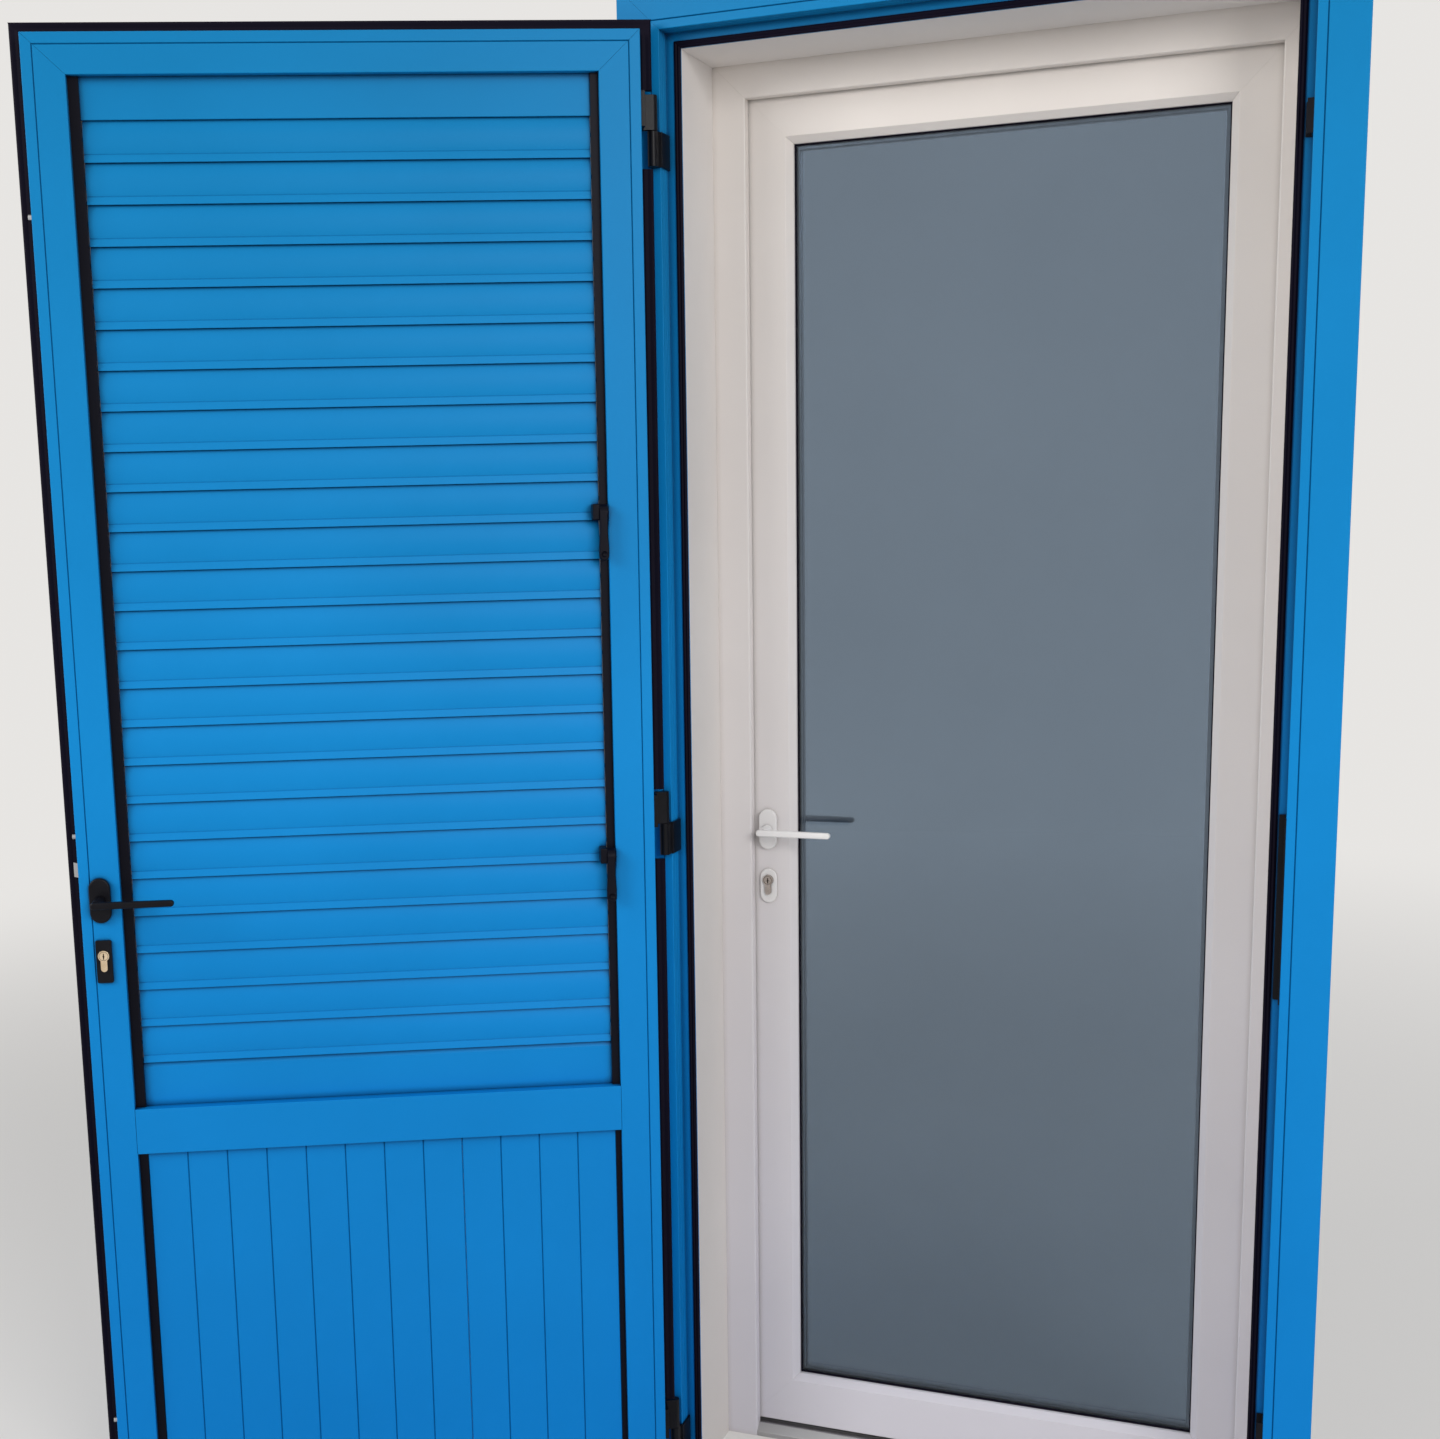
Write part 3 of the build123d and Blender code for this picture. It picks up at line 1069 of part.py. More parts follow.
def sash_hinge_frame_parts():
    shapes = []
    x = SASH_AXIS_X
    y = SASH_AXIS_Y
    radius = SASH_KNUCKLE_RADIUS
    for height in SASH_HINGE_HEIGHTS:
        low = height - SASH_KNUCKLE
        high = height - KNUCKLE_GAP / 2
        plate_end = min(x + SASH_PLATE_WIDTH - radius, FRAME_WIDTH / 2 - SASH_PLATE_EDGE)
        shape = box(x - radius, plate_end, FRAME_IN, FRAME_IN + SASH_PLATE, low, high)
        arm = radius - SASH_ARM_NARROWER
        shape += box(x - arm, x + arm, FRAME_IN, y, low, high)
        shape += rod_z(x, y, radius, low, high, ROUND_COUNT)
        shape += rod_z(x, y, SASH_PIN_RADIUS, low, height + SASH_KNUCKLE - PIN_SHORTER)
        shapes.append(shape)
    return shapes


def sash_hinge_sash_parts():
    shapes = []
    x = SASH_AXIS_X
    y = SASH_AXIS_Y
    radius = SASH_KNUCKLE_RADIUS
    for height in SASH_HINGE_HEIGHTS:
        low = height + KNUCKLE_GAP / 2
        high = height + SASH_KNUCKLE
        edge = SASH_EDGE + SASH_LIP
        shape = box(edge - SASH_PLATE_WIDTH, edge, SASH_IN, SASH_IN + SASH_PLATE, low, high)
        shape += box(edge - CUT, x, SASH_IN, SASH_IN + SASH_PLATE, low, high)
        shape += rod_z(x, y, radius, low, high, ROUND_COUNT)
        shape -= rod_z(x, y, SASH_PIN_RADIUS + HINGE_PIN_CLEARANCE, low - CUT,
                       high - PIN_SHORTER + PIN_END_GAP)
        shapes.append(shape)
    return shapes


# Everything is written, one file for each piece.
save("window_frame", window_frame())
save("threshold", threshold())
save("reveal_lining", reveal_lining())
blue_frame = shutter_frame()
save("shutter_jamb_left", [blue_frame["left"]])
save("shutter_jamb_right", [blue_frame["right"]])
save("shutter_head", [blue_frame["top"]])
save("frame_gaskets", frame_gaskets())
save("shutter_hinge_flags", hinge_flags())
save("strike_plates", strike_plates())
save("sash_hinge_frame_parts", sash_hinge_frame_parts())

save("sash_frame", sash_frame())
save("glass_unit", glass_unit())
save("sash_hinge_sash_parts", sash_hinge_sash_parts())
save("window_lock", window_lock())
save("window_lock_plates", window_lock_plates())
save("window_handle", window_handle())
save("window_latch", [window_latch_box(0.0)])

leaf_frame = leaf_bars()
save_leaf("leaf_hinge_stile", hinge_stile(leaf_frame))
save_leaf("leaf_lock_stile", lock_stile(leaf_frame))
save_leaf("leaf_top_rail", [leaf_frame["top"]])
save_leaf("leaf_mid_rail", mid_rail())
save_leaf("leaf_bottom_rail", [leaf_frame["foot"]])
save_leaf("leaf_gasket", leaf_gasket())
save_leaf("side_channels", side_channels())
save_leaf("slat_fillers", slat_fillers())
save_leaf("stave_panel", stave_panel())
save_leaf("shutter_hinge_leaves", hinge_leaves())
save_leaf("shutter_lock", shutter_lock())
save_leaf("shutter_lock_plates", shutter_lock_plates())
save_leaf("shutter_handle", shutter_handle())
save_leaf("shutter_latch", shutter_latch())
save_leaf("shutter_bolt_bar", bolt_bar())

heights = slat_heights()
for index, height in enumerate(heights):
    save_leaf(f"slat_{index + 1:02d}", [slat(height)])
save_leaf("tie_rod_upper", [tie_rod(heights[:UPPER_COUNT])])
save_leaf("tie_rod_lower", [tie_rod(heights[UPPER_COUNT:])])
save_leaf("slat_grip_upper", [grip(heights[UPPER_GRIP_COUNT])])
save_leaf("slat_grip_lower", [grip(heights[LOWER_GRIP_COUNT])])
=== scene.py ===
import json

import bpy
from math import atan2, cos, pi, radians, sin, tan
from mathutils import Matrix, Vector

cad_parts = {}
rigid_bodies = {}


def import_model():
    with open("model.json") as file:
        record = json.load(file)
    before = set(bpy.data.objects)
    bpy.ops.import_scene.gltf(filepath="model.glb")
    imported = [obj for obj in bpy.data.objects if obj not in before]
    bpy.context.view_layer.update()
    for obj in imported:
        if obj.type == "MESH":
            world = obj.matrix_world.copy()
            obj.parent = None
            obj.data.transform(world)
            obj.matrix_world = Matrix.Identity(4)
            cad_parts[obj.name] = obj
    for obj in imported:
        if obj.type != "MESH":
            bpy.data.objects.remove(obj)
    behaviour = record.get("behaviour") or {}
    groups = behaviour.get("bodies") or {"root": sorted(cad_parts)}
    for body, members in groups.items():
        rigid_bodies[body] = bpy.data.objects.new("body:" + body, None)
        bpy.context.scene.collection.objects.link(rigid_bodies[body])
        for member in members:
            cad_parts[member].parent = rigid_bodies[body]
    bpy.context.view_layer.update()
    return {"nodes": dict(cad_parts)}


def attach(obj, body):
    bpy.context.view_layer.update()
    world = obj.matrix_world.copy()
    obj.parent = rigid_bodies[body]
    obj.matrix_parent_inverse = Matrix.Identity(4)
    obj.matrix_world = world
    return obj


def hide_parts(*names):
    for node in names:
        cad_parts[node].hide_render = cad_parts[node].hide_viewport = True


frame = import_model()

nodes = frame["nodes"]
mm = 0.001

bpy.context.scene.view_settings.view_transform = "Standard"
backdropTone = (0.80, 0.785, 0.765)

# The leaf's pieces are made in its own axes, along the closed leaf from its pin, and turned open.
leafHang = {"pin": (-471.1, -225.5), "open": 153.0, "hinges": (2136.5, 1107.0, 96.5)}
leafPlace = (Matrix.Translation(Vector((*leafHang["pin"], 0.0)) * mm)
             @ Matrix.Rotation(radians(-leafHang["open"]), 4, "Z"))

# where the levers turn, in the leaf's own axes and in the window's, and how far below the cylinders sit
locks = {"leaf": (862.9, 1029.0), "window": (-366.2, 1066.0), "drop": 85.0}


# shader nodes

def addNode(tree, kind, values=None, **settings):
    # values go to the node's sockets, and a value that is a socket itself is joined to it
    node = tree.nodes.new(kind)
    for key, value in settings.items():
        setattr(node, key, value)
    for key, value in (values or {}).items():
        if isinstance(value, bpy.types.NodeSocket):
            tree.links.new(value, node.inputs[key])
        else:
            node.inputs[key].default_value = value
    return node


def addRamp(tree, share, stops):
    # stops are (place, colour), from the first to the last
    ramp = addNode(tree, "ShaderNodeValToRGB", {"Fac": share})
    elements = ramp.color_ramp.elements
    for place, colour in stops[1:-1]:
        elements.new(place)
    for element, (place, colour) in zip(elements, stops):
        element.position = place
        element.color = (*colour, 1.0)
    return ramp.outputs["Color"]


def startMaterial(name):
    material = bpy.data.materials.new(name)
    material.use_nodes = True
    material.node_tree.nodes.clear()
    return material, material.node_tree


def seenRays(tree):
    # 1 for the camera's own rays and for those that go on by reflection or through glass
    path = addNode(tree, "ShaderNodeLightPath")
    either = addNode(tree, "ShaderNodeMath",
                     {0: path.outputs["Is Camera Ray"], 1: path.outputs["Is Glossy Ray"]},
                     operation="MAXIMUM")
    seen = addNode(tree, "ShaderNodeMath",
                   {0: either.outputs[0], 1: path.outputs["Is Transmission Ray"]}, operation="MAXIMUM")
    return seen.outputs[0]


# stage

def makeCamera():
    view = {"yaw": 22.504, "pitch": 9.631, "roll": -1.42, "lens": 46.754, "sensor": 36.0,
            "place": (513.09, -2925.64, 1607.4), "shiftX": 0.0940, "shiftY": 0.06735,
            "near": 0.05, "far": 100.0}
    data = bpy.data.cameras.new("camera")
    data.sensor_width = view["sensor"]
    data.lens = view["lens"]
    data.shift_x = view["shiftX"]
    data.shift_y = view["shiftY"]
    data.clip_start = view["near"]
    data.clip_end = view["far"]
    camera = bpy.data.objects.new("camera", data)
    bpy.context.collection.objects.link(camera)
    turn = (Matrix.Rotation(radians(view["yaw"]), 4, "Z")
            @ Matrix.Rotation(radians(90.0 - view["pitch"]), 4, "X")
            @ Matrix.Rotation(radians(view["roll"]), 4, "Z"))
    camera.matrix_world = Matrix.Translation(Vector(view["place"]) * mm) @ turn
    bpy.context.scene.camera = camera


def makeLights():
    lights = [
        # name, place, aim, size, watts, colour
        ("leftLight", (-3.6, -4.8, 3.6), (-0.3, -0.2, 1.2), 2.4, 150.0, (1.0, 0.985, 0.96)),
        ("rightLight", (3.9, -4.8, 3.3), (-0.3, -0.2, 1.2), 2.4, 172.0, (1.0, 0.99, 0.985)),
        ("backLight", (2.6, 4.6, 4.4), (0.0, 0.0, 1.2), 2.6, 80.0, (1.0, 1.0, 1.0)),
    ]
    for name, place, aim, size, watts, colour in lights:
        data = bpy.data.lights.new(name, "AREA")
        data.shape = "SQUARE"
        data.size = size
        data.energy = watts
        data.color = colour
        lamp = bpy.data.objects.new(name, data)
        bpy.context.collection.objects.link(lamp)
        lamp.location = place
        lamp.rotation_euler = (Vector(aim) - Vector(place)).to_track_quat("-Z", "Y").to_euler()


def makeWorld():
    tone = {"light": (0.84, 0.86, 0.89), "strength": 0.46}
    world = bpy.data.worlds.new("world")
    bpy.context.scene.world = world
    world.use_nodes = True
    tree = world.node_tree
    tree.nodes.clear()
    ambient = addNode(tree, "ShaderNodeBackground",
                      {"Color": (*tone["light"], 1.0), "Strength": tone["strength"]})
    backdrop = addNode(tree, "ShaderNodeBackground", {"Color": (*backdropTone, 1.0), "Strength": 1.0})
    mix = addNode(tree, "ShaderNodeMixShader",
                  {0: seenRays(tree), 1: ambient.outputs[0], 2: backdrop.outputs[0]})
    addNode(tree, "ShaderNodeOutputWorld", {"Surface": mix.outputs[0]})


# materials

def makeMaterial(name, look):
    # colour and sheen vary with a broad noise, the surface with a fine one
    material, tree = startMaterial(name)
    place = addNode(tree, "ShaderNodeTexCoord").outputs["Object"]
    stretch = addNode(tree, "ShaderNodeMapping", {"Vector": place, "Scale": look["stretch"]}).outputs[0]
    broad = addNode(tree, "ShaderNodeTexNoise",
                    {"Vector": stretch, "Scale": look["broadScale"], "Detail": 5.0}).outputs["Fac"]
    fine = addNode(tree, "ShaderNodeTexNoise",
                   {"Vector": stretch, "Scale": look["fineScale"], "Detail": 2.0}).outputs["Fac"]
    colour = addRamp(tree, broad, ((0.3, look["dark"]), (0.7, look["light"])))
    if "low" in look:
        # painted light and shade: the colour is tinted darker and bluer at the foot and warmer at the
        # head, as the light falls there
        height = addNode(tree, "ShaderNodeSeparateXYZ", {0: place}).outputs["Z"]
        rise = addNode(tree, "ShaderNodeMapRange", {"Value": height, "From Min": 0.2, "From Max": 2.2})
        paintedLightLevel = addRamp(tree, rise.outputs["Result"],
                        ((0.0, look["low"]), (0.5, (1.0, 1.0, 1.0)), (1.0, look["high"])))
        paintedLightTint = addNode(tree, "ShaderNodeMix", {"Factor": 1.0, "A": colour, "B": paintedLightLevel},
                       data_type="RGBA", blend_type="MULTIPLY")
        colour = paintedLightTint.outputs["Result"]
    if "paintedShade" in look:
        # painted shade: the colour is darkened where ambient occlusion finds corners, grooves and the gaps
        # under the slats' lips
        hollow = addNode(tree, "ShaderNodeAmbientOcclusion", {"Distance": look["paintedShadeReach"]}, samples=8)
        depth = addNode(tree, "ShaderNodeMapRange",
                        {"Value": hollow.outputs["AO"], "From Min": 0.25, "From Max": 0.9,
                         "To Min": look["paintedShadeAmount"], "To Max": 0.0})
        shadeMix = addNode(tree, "ShaderNodeMix",
                       {"Factor": depth.outputs["Result"], "A": colour, "B": (*look["paintedShade"], 1.0)},
                       data_type="RGBA")
        colour = shadeMix.outputs["Result"]
    gloss = addNode(tree, "ShaderNodeMapRange",
                    {"Value": broad, "To Min": look["rough"][0], "To Max": look["rough"][1]})
    bump = addNode(tree, "ShaderNodeBump",
                   {"Height": fine, "Strength": look["bump"], "Distance": look["bumpDepth"]})
    shader = addNode(tree, "ShaderNodeBsdfPrincipled",
                     {"Base Color": colour, "Roughness": gloss.outputs["Result"],
                      "Metallic": look["metallic"], "Specular IOR Level": look["specular"],
                      "Normal": bump.outputs["Normal"]})
    addNode(tree, "ShaderNodeOutputMaterial", {"Surface": shader.outputs[0]})
    return material


def makeGlass(name, look):
    # clear pane: see-through with a faint cloudy tint, and mirror-like at a slant
    material, tree = startMaterial(name)
    place = addNode(tree, "ShaderNodeTexCoord").outputs["Object"]
    film = addNode(tree, "ShaderNodeTexNoise", {"Vector": place, "Scale": look["scale"], "Detail": 3.0})
    cloud = addRamp(tree, film.outputs["Fac"], ((0.3, look["dark"]), (0.7, look["light"])))
    through = addNode(tree, "ShaderNodeBsdfTransparent", {"Color": cloud})
    mirror = addNode(tree, "ShaderNodeBsdfGlossy", {"Color": (*look["mirror"], 1.0), "Roughness": 0.0})
    slant = addNode(tree, "ShaderNodeFresnel", {"IOR": look["bend"]})
    mix = addNode(tree, "ShaderNodeMixShader",
                  {0: slant.outputs[0], 1: through.outputs[0], 2: mirror.outputs[0]})
    addNode(tree, "ShaderNodeOutputMaterial", {"Surface": mix.outputs[0]})
    return material


# what a finish has unless its own look says otherwise
plainLook = {"stretch": (1.0, 1.0, 1.0), "broadScale": 3.0, "metallic": 0.0, "specular": 0.5,
             "bumpDepth": 0.0002}
# in these looks the colour put into hollows, with its amount and reach, is painted shade in corners,
# grooves and under the slats' lips
looks = {
    # low and high, here and in the white profile, are painted light and shade from foot to head
    "blueCoat": {"dark": (0.0030, 0.235, 0.600), "light": (0.0040, 0.255, 0.650), "low": (0.4, 0.86, 0.97),
                 "high": (1.0, 0.84, 0.76), "rough": (0.38, 0.46), "bump": 0.12, "fineScale": 1400.0,
                 "specular": 0.12, "paintedShade": (0.001, 0.018, 0.085), "paintedShadeAmount": 1.0,
                 "paintedShadeReach": 0.014},
    "whiteProfile": {"dark": (0.74, 0.70, 0.69), "light": (0.78, 0.74, 0.73), "low": (0.86, 0.88, 0.97),
                     "high": (1.0, 0.985, 0.94), "rough": (0.30, 0.38), "bump": 0.06,
                     "fineScale": 500.0, "specular": 0.35, "paintedShade": (0.42, 0.38, 0.34),
                     "paintedShadeAmount": 0.4, "paintedShadeReach": 0.012},
    "liningBoard": {"dark": (0.72, 0.68, 0.65), "light": (0.78, 0.74, 0.71), "rough": (0.5, 0.6),
                    "bump": 0.15, "fineScale": 700.0},
    "blackMetal": {"dark": (0.003, 0.003, 0.005), "light": (0.006, 0.006, 0.009), "rough": (0.28, 0.40),
                   "bump": 0.3, "fineScale": 1800.0, "broadScale": 30.0, "specular": 0.14},
    "blackPlastic": {"dark": (0.002, 0.002, 0.006), "light": (0.004, 0.004, 0.009),
                     "rough": (0.36, 0.48), "bump": 0.2, "fineScale": 1500.0, "specular": 0.10},
    "blackRubber": {"dark": (0.003, 0.002, 0.008), "light": (0.006, 0.004, 0.012),
                    "rough": (0.55, 0.7), "bump": 0.2, "fineScale": 900.0, "specular": 0.08},
    "whiteLacquer": {"dark": (0.78, 0.76, 0.75), "light": (0.84, 0.82, 0.81), "rough": (0.24, 0.32),
                     "bump": 0.05, "fineScale": 800.0, "paintedShade": (0.3, 0.28, 0.27),
                     "paintedShadeAmount": 0.4, "paintedShadeReach": 0.006},
    "nickel": {"dark": (0.34, 0.29, 0.26), "light": (0.50, 0.44, 0.40), "rough": (0.20, 0.32),
               "metallic": 1.0, "bump": 0.08, "fineScale": 1200.0, "broadScale": 60.0,
               "paintedShade": (0.02, 0.015, 0.012), "paintedShadeAmount": 1.0, "paintedShadeReach": 0.004},
    "brass": {"dark": (0.66, 0.50, 0.32), "light": (0.86, 0.70, 0.50), "rough": (0.20, 0.32),
              "metallic": 1.0, "bump": 0.08, "fineScale": 1200.0, "broadScale": 60.0,
              "paintedShade": (0.03, 0.018, 0.008), "paintedShadeAmount": 1.0, "paintedShadeReach": 0.004},
    "steel": {"dark": (0.42, 0.42, 0.43), "light": (0.56, 0.56, 0.57), "rough": (0.26, 0.4),
              "metallic": 1.0, "bump": 0.1, "fineScale": 700.0, "stretch": (1.0, 1.0, 0.08),
              "broadScale": 40.0},
    "sillMetal": {"dark": (0.36, 0.36, 0.37), "light": (0.46, 0.46, 0.47), "rough": (0.3, 0.42),
                  "metallic": 1.0, "bump": 0.1, "fineScale": 500.0, "stretch": (0.05, 1.0, 1.0)},
}
paneLook = {"dark": (0.62, 0.665, 0.71), "light": (0.635, 0.68, 0.725), "scale": 2.0,
            "mirror": (0.86, 0.93, 1.0), "bend": 1.52}
materials = {name: makeMaterial(name, {**plainLook, **look}) for name, look in looks.items()}
materials["pane"] = makeGlass("pane", paneLook)

makeCamera()
makeLights()
makeWorld()
print("stage, camera and materials made")


# working steps shared by the pieces

def rename(piece, name):
    piece.name = name
    piece.data.name = name


def deselectAll():
    if bpy.context.object and bpy.context.object.mode != "OBJECT":
        bpy.ops.object.mode_set(mode="OBJECT")
    bpy.ops.object.select_all(action="DESELECT")


def makeActive(piece):
    deselectAll()
    piece.select_set(True)
    bpy.context.view_layer.objects.active = piece


def placeBy(piece, matrix):
    makeActive(piece)
    piece.matrix_world = matrix
    bpy.ops.object.transform_apply(location=True, rotation=True, scale=True)


def startPoint(name, place):
    # a plane drawn together to one point, left in edit mode
    deselectAll()
    bpy.ops.mesh.primitive_plane_add(size=0.002, location=(0.0, 0.0, 0.0))
    piece = bpy.context.active_object
    rename(piece, name)
    bpy.ops.object.mode_set(mode="EDIT")
    bpy.ops.mesh.select_mode(type="VERT")
    bpy.ops.mesh.select_all(action="SELECT")
    bpy.ops.mesh.merge(type="CENTER")
    bpy.ops.transform.translate(value=place)
    return piece


def pullChain(corners):
    for here, there in zip(corners, corners[1:]):
        bpy.ops.mesh.extrude_region_move(TRANSFORM_OT_translate={"value": there - here})
    bpy.ops.mesh.select_all(action="SELECT")


def pullOutline(name, outline, pull):
    # a point is pulled from corner to corner, the ring is filled and pulled into a bar
    corners = [Vector(point) * mm for point in outline]
    piece = startPoint(name, corners[0])
    pullChain(corners)
    bpy.ops.mesh.edge_face_add()
    bpy.ops.mesh.extrude_region_move(TRANSFORM_OT_translate={"value": Vector(pull) * mm})
    bpy.ops.mesh.select_all(action="SELECT")
    bpy.ops.mesh.normals_make_consistent(inside=False)
    bpy.ops.object.mode_set(mode="OBJECT")
    return piece


def pullLong(name, section, start, end):
    # a (y, z) section pulled along X
    return pullOutline(name, [(start, y, z) for y, z in section], (end - start, 0.0, 0.0))


def pullUp(name, section, low, high):
    # an (x, y) section pulled along Z
    return pullOutline(name, [(x, y, low) for x, y in section], (0.0, 0.0, high - low))


def turnProfile(name, profile, steps):
    # (radius, height) points are spun round the local Z axis
    corners = [Vector((radius, 0.0, height)) * mm for radius, height in profile]
    piece = startPoint(name, corners[0])
    pullChain(corners)
    bpy.ops.mesh.spin(steps=steps, angle=2 * pi, center=(0.0, 0.0, 0.0), axis=(0.0, 0.0, 1.0))
    bpy.ops.mesh.select_all(action="SELECT")
    bpy.ops.mesh.remove_doubles(threshold=0.00002)
    bpy.ops.mesh.normals_make_consistent(inside=False)
    bpy.ops.object.mode_set(mode="OBJECT")
    return piece


def cutOff(piece, point, normal):
    # what lies beyond the plane, on its normal's side, is removed and the cut is closed
    makeActive(piece)
    bpy.ops.object.mode_set(mode="EDIT")
    bpy.ops.mesh.select_all(action="SELECT")
    bpy.ops.mesh.bisect(plane_co=Vector(point) * mm, plane_no=normal, use_fill=True, clear_outer=True)
    bpy.ops.object.mode_set(mode="OBJECT")


def roundEdges(piece, width, segments=2, angle=50.0):
    makeActive(piece)
    step = piece.modifiers.new("roundEdges", "BEVEL")
    step.width = width * mm
    step.segments = segments
    step.limit_method = "ANGLE"
    step.angle_limit = radians(angle)
    bpy.ops.object.modifier_apply(modifier=step.name)


def cutWith(piece, cutter):
    makeActive(piece)
    step = piece.modifiers.new("cutWith", "BOOLEAN")
    step.operation = "DIFFERENCE"
    step.solver = "EXACT"
    step.object = cutter
    bpy.ops.object.modifier_apply(modifier=step.name)
    bpy.data.objects.remove(cutter)


def cutBox(piece, low, high):
    (x0, y0, z0), (x1, y1, z1) = low, high
    cutWith(piece, pullUp("cutter", [(x0, y0), (x1, y0), (x1, y1), (x0, y1)], z0, z1))


def joinPieces(name, pieces):
    deselectAll()
    for piece in pieces:
        piece.select_set(True)
    bpy.context.view_layer.objects.active = pieces[0]
    bpy.ops.object.join()
    rename(pieces[0], name)
    return pieces[0]


def twinOf(piece, name):
    twin = piece.copy()
    twin.data = piece.data.copy()
    rename(twin, name)
    bpy.context.collection.objects.link(twin)
    return twin


def copyPiece(piece, name, shift):
    twin = twinOf(piece, name)
    placeBy(twin, Matrix.Translation(Vector(shift) * mm))
    return twin


def finishPiece(piece, body, material, replaced=()):
    # faces smooth up to this angle, with large flat faces setting the shading at the rounded edges
    finish = {"smoothAngle": 35.0, "faceWeight": 90}
    makeActive(piece)
    bpy.ops.object.shade_smooth_by_angle(angle=radians(finish["smoothAngle"]))
    step = piece.modifiers.new("evenNormals", "WEIGHTED_NORMAL")
    step.weight = finish["faceWeight"]
    step.keep_sharp = True
    bpy.ops.object.modifier_apply(modifier=step.name)
    piece.data.materials.clear()
    piece.data.materials.append(materials[material])
    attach(piece, body)
    if replaced:
        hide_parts(*replaced)


def mergedCopy(node, name):
    # the CAD piece's triangles are merged into its own flat faces
    piece = twinOf(nodes[node], name)
    piece.parent = None
    for key in list(piece.keys()):
        del piece[key]
    makeActive(piece)
    bpy.ops.object.mode_set(mode="EDIT")
    bpy.ops.mesh.select_all(action="SELECT")
    bpy.ops.mesh.remove_doubles(threshold=0.00001)
    bpy.ops.mesh.dissolve_limited(angle_limit=radians(1.0))
    bpy.ops.object.mode_set(mode="OBJECT")
    return piece


def dropPart(piece, picks):
    # each loose part with a corner that picks() names is removed
    makeActive(piece)
    bpy.ops.object.mode_set(mode="EDIT")
    bpy.ops.mesh.select_mode(type="VERT")
    bpy.ops.mesh.select_all(action="DESELECT")
    bpy.ops.object.mode_set(mode="OBJECT")
    for corner in piece.data.vertices:
        corner.select = picks(corner.co)
    bpy.ops.object.mode_set(mode="EDIT")
    bpy.ops.mesh.select_linked()
    bpy.ops.mesh.delete(type="VERT")
    bpy.ops.object.mode_set(mode="OBJECT")


def softCopy(node, name, width, body, material, extra=()):
    # a merged copy with its edges eased, joined with finer parts
    piece = mergedCopy(node, name)
    roundEdges(piece, width, angle=40.0)
    if extra:
        piece = joinPieces(name, [piece, *extra])
    finishPiece(piece, body, material, (node,))


def soften(points, radius=1.0):
    # each corner of a section becomes a small arc; a third value is that corner's own radius
    arc = {"steps": 3, "share": 0.46}  # an arc takes no more than this share of either side
    result = []
    for index, point in enumerate(points):
        here = Vector(point[:2])
        size = point[2] if len(point) > 2 else radius
        if size <= 0.0:
            result.append((here.x, here.y))
            continue
        before = Vector(points[index - 1][:2]) - here
        after = Vector(points[(index + 1) % len(points)][:2]) - here
        half = before.angle(after) / 2
        reach = min(size / tan(half), arc["share"] * before.length, arc["share"] * after.length)
        size = reach * tan(half)
        middle = here + (before.normalized() + after.normalized()).normalized() * (size / sin(half))
        first = here + before.normalized() * reach - middle
        last = here + after.normalized() * reach - middle
        start = atan2(first.y, first.x)
        turn = (atan2(last.y, last.x) - start + pi) % (2 * pi) - pi
        for step in range(arc["steps"] + 1):
            angle = start + turn * step / arc["steps"]
            result.append((middle.x + size * cos(angle), middle.y + size * sin(angle)))
    return result


def ringBars(name, sections, ring, slope=1.0, footSlope=1.0, floor=None, gap=0.06):
    # bars round an opening, cut along the lines through its corners, with a hairline left there;
    # with a floor the side bars stand on it and the foot bar is left out
    left, right, foot, top = ring
    reach = 130.0
    low = foot - reach if floor is None else floor
    side = sections["side"]
    bars = {}
    for key, edge, way in (("Left", left, -1.0), ("Right", right, 1.0)):
        piece = pullUp(name + key, [(edge + way * a, y) for a, y in side], low, top + reach)
        cutOff(piece, (edge, 0.0, top - gap), (-way * slope, 0.0, 1.0))
        if floor is None:
            cutOff(piece, (edge, 0.0, foot + gap), (-way * footSlope, 0.0, -1.0))
        bars[key] = piece
    for key, edge, way, rise in (("Top", top, 1.0, slope), ("Foot", foot, -1.0, footSlope)):
        if key == "Foot" and floor is not None:
            continue
        section = sections.get(key.lower(), side)
        piece = pullLong(name + key, [(y, edge + way * a) for a, y in section],
                         left - reach, right + reach)
        cutOff(piece, (left + gap, 0.0, edge), (-rise, 0.0, -way))
        cutOff(piece, (right - gap, 0.0, edge), (rise, 0.0, -way))
        bars[key] = piece
    return bars


def arcRun(centre, radius, first, last, steps):
    angles = [radians(first + (last - first) * step / steps) for step in range(steps + 1)]
    return [(centre[0] + radius * cos(a), centre[1] + radius * sin(a)) for a in angles]


def cutLockHoles(piece, place, through):
    # a square hole for the spindle, and the cylinder's hole below it
    size = {"spindle": 6.6, "cylinder": 8.7, "tail": 24.7}
    x, z = place
    near, far = through
    half = size["spindle"]
    cutBox(piece, (x - half, near, z - half), (x + half, far, z + half))
    half = size["cylinder"]
    z -= locks["drop"]
    cutBox(piece, (x - half, near, z - size["tail"]), (x + half, far, z + half))


# CAD nodes that stay

paint = {
    "blackPlastic": ["tie_rod_upper", "tie_rod_lower"],
    "steel": ["shutter_bolt_bar", "shutter_latch", "window_latch"],
}
for material, names in paint.items():
    for name in names:
        slots = nodes[name].data.materials
        for index in range(len(slots)):
            slots[index] = materials[material]
        if not slots:
            slots.append(materials[material])
print("CAD nodes painted")


# white frame, sash and lining

windowOpening = {"edge": 389.0, "top": 2208.0, "sill": 20.0}


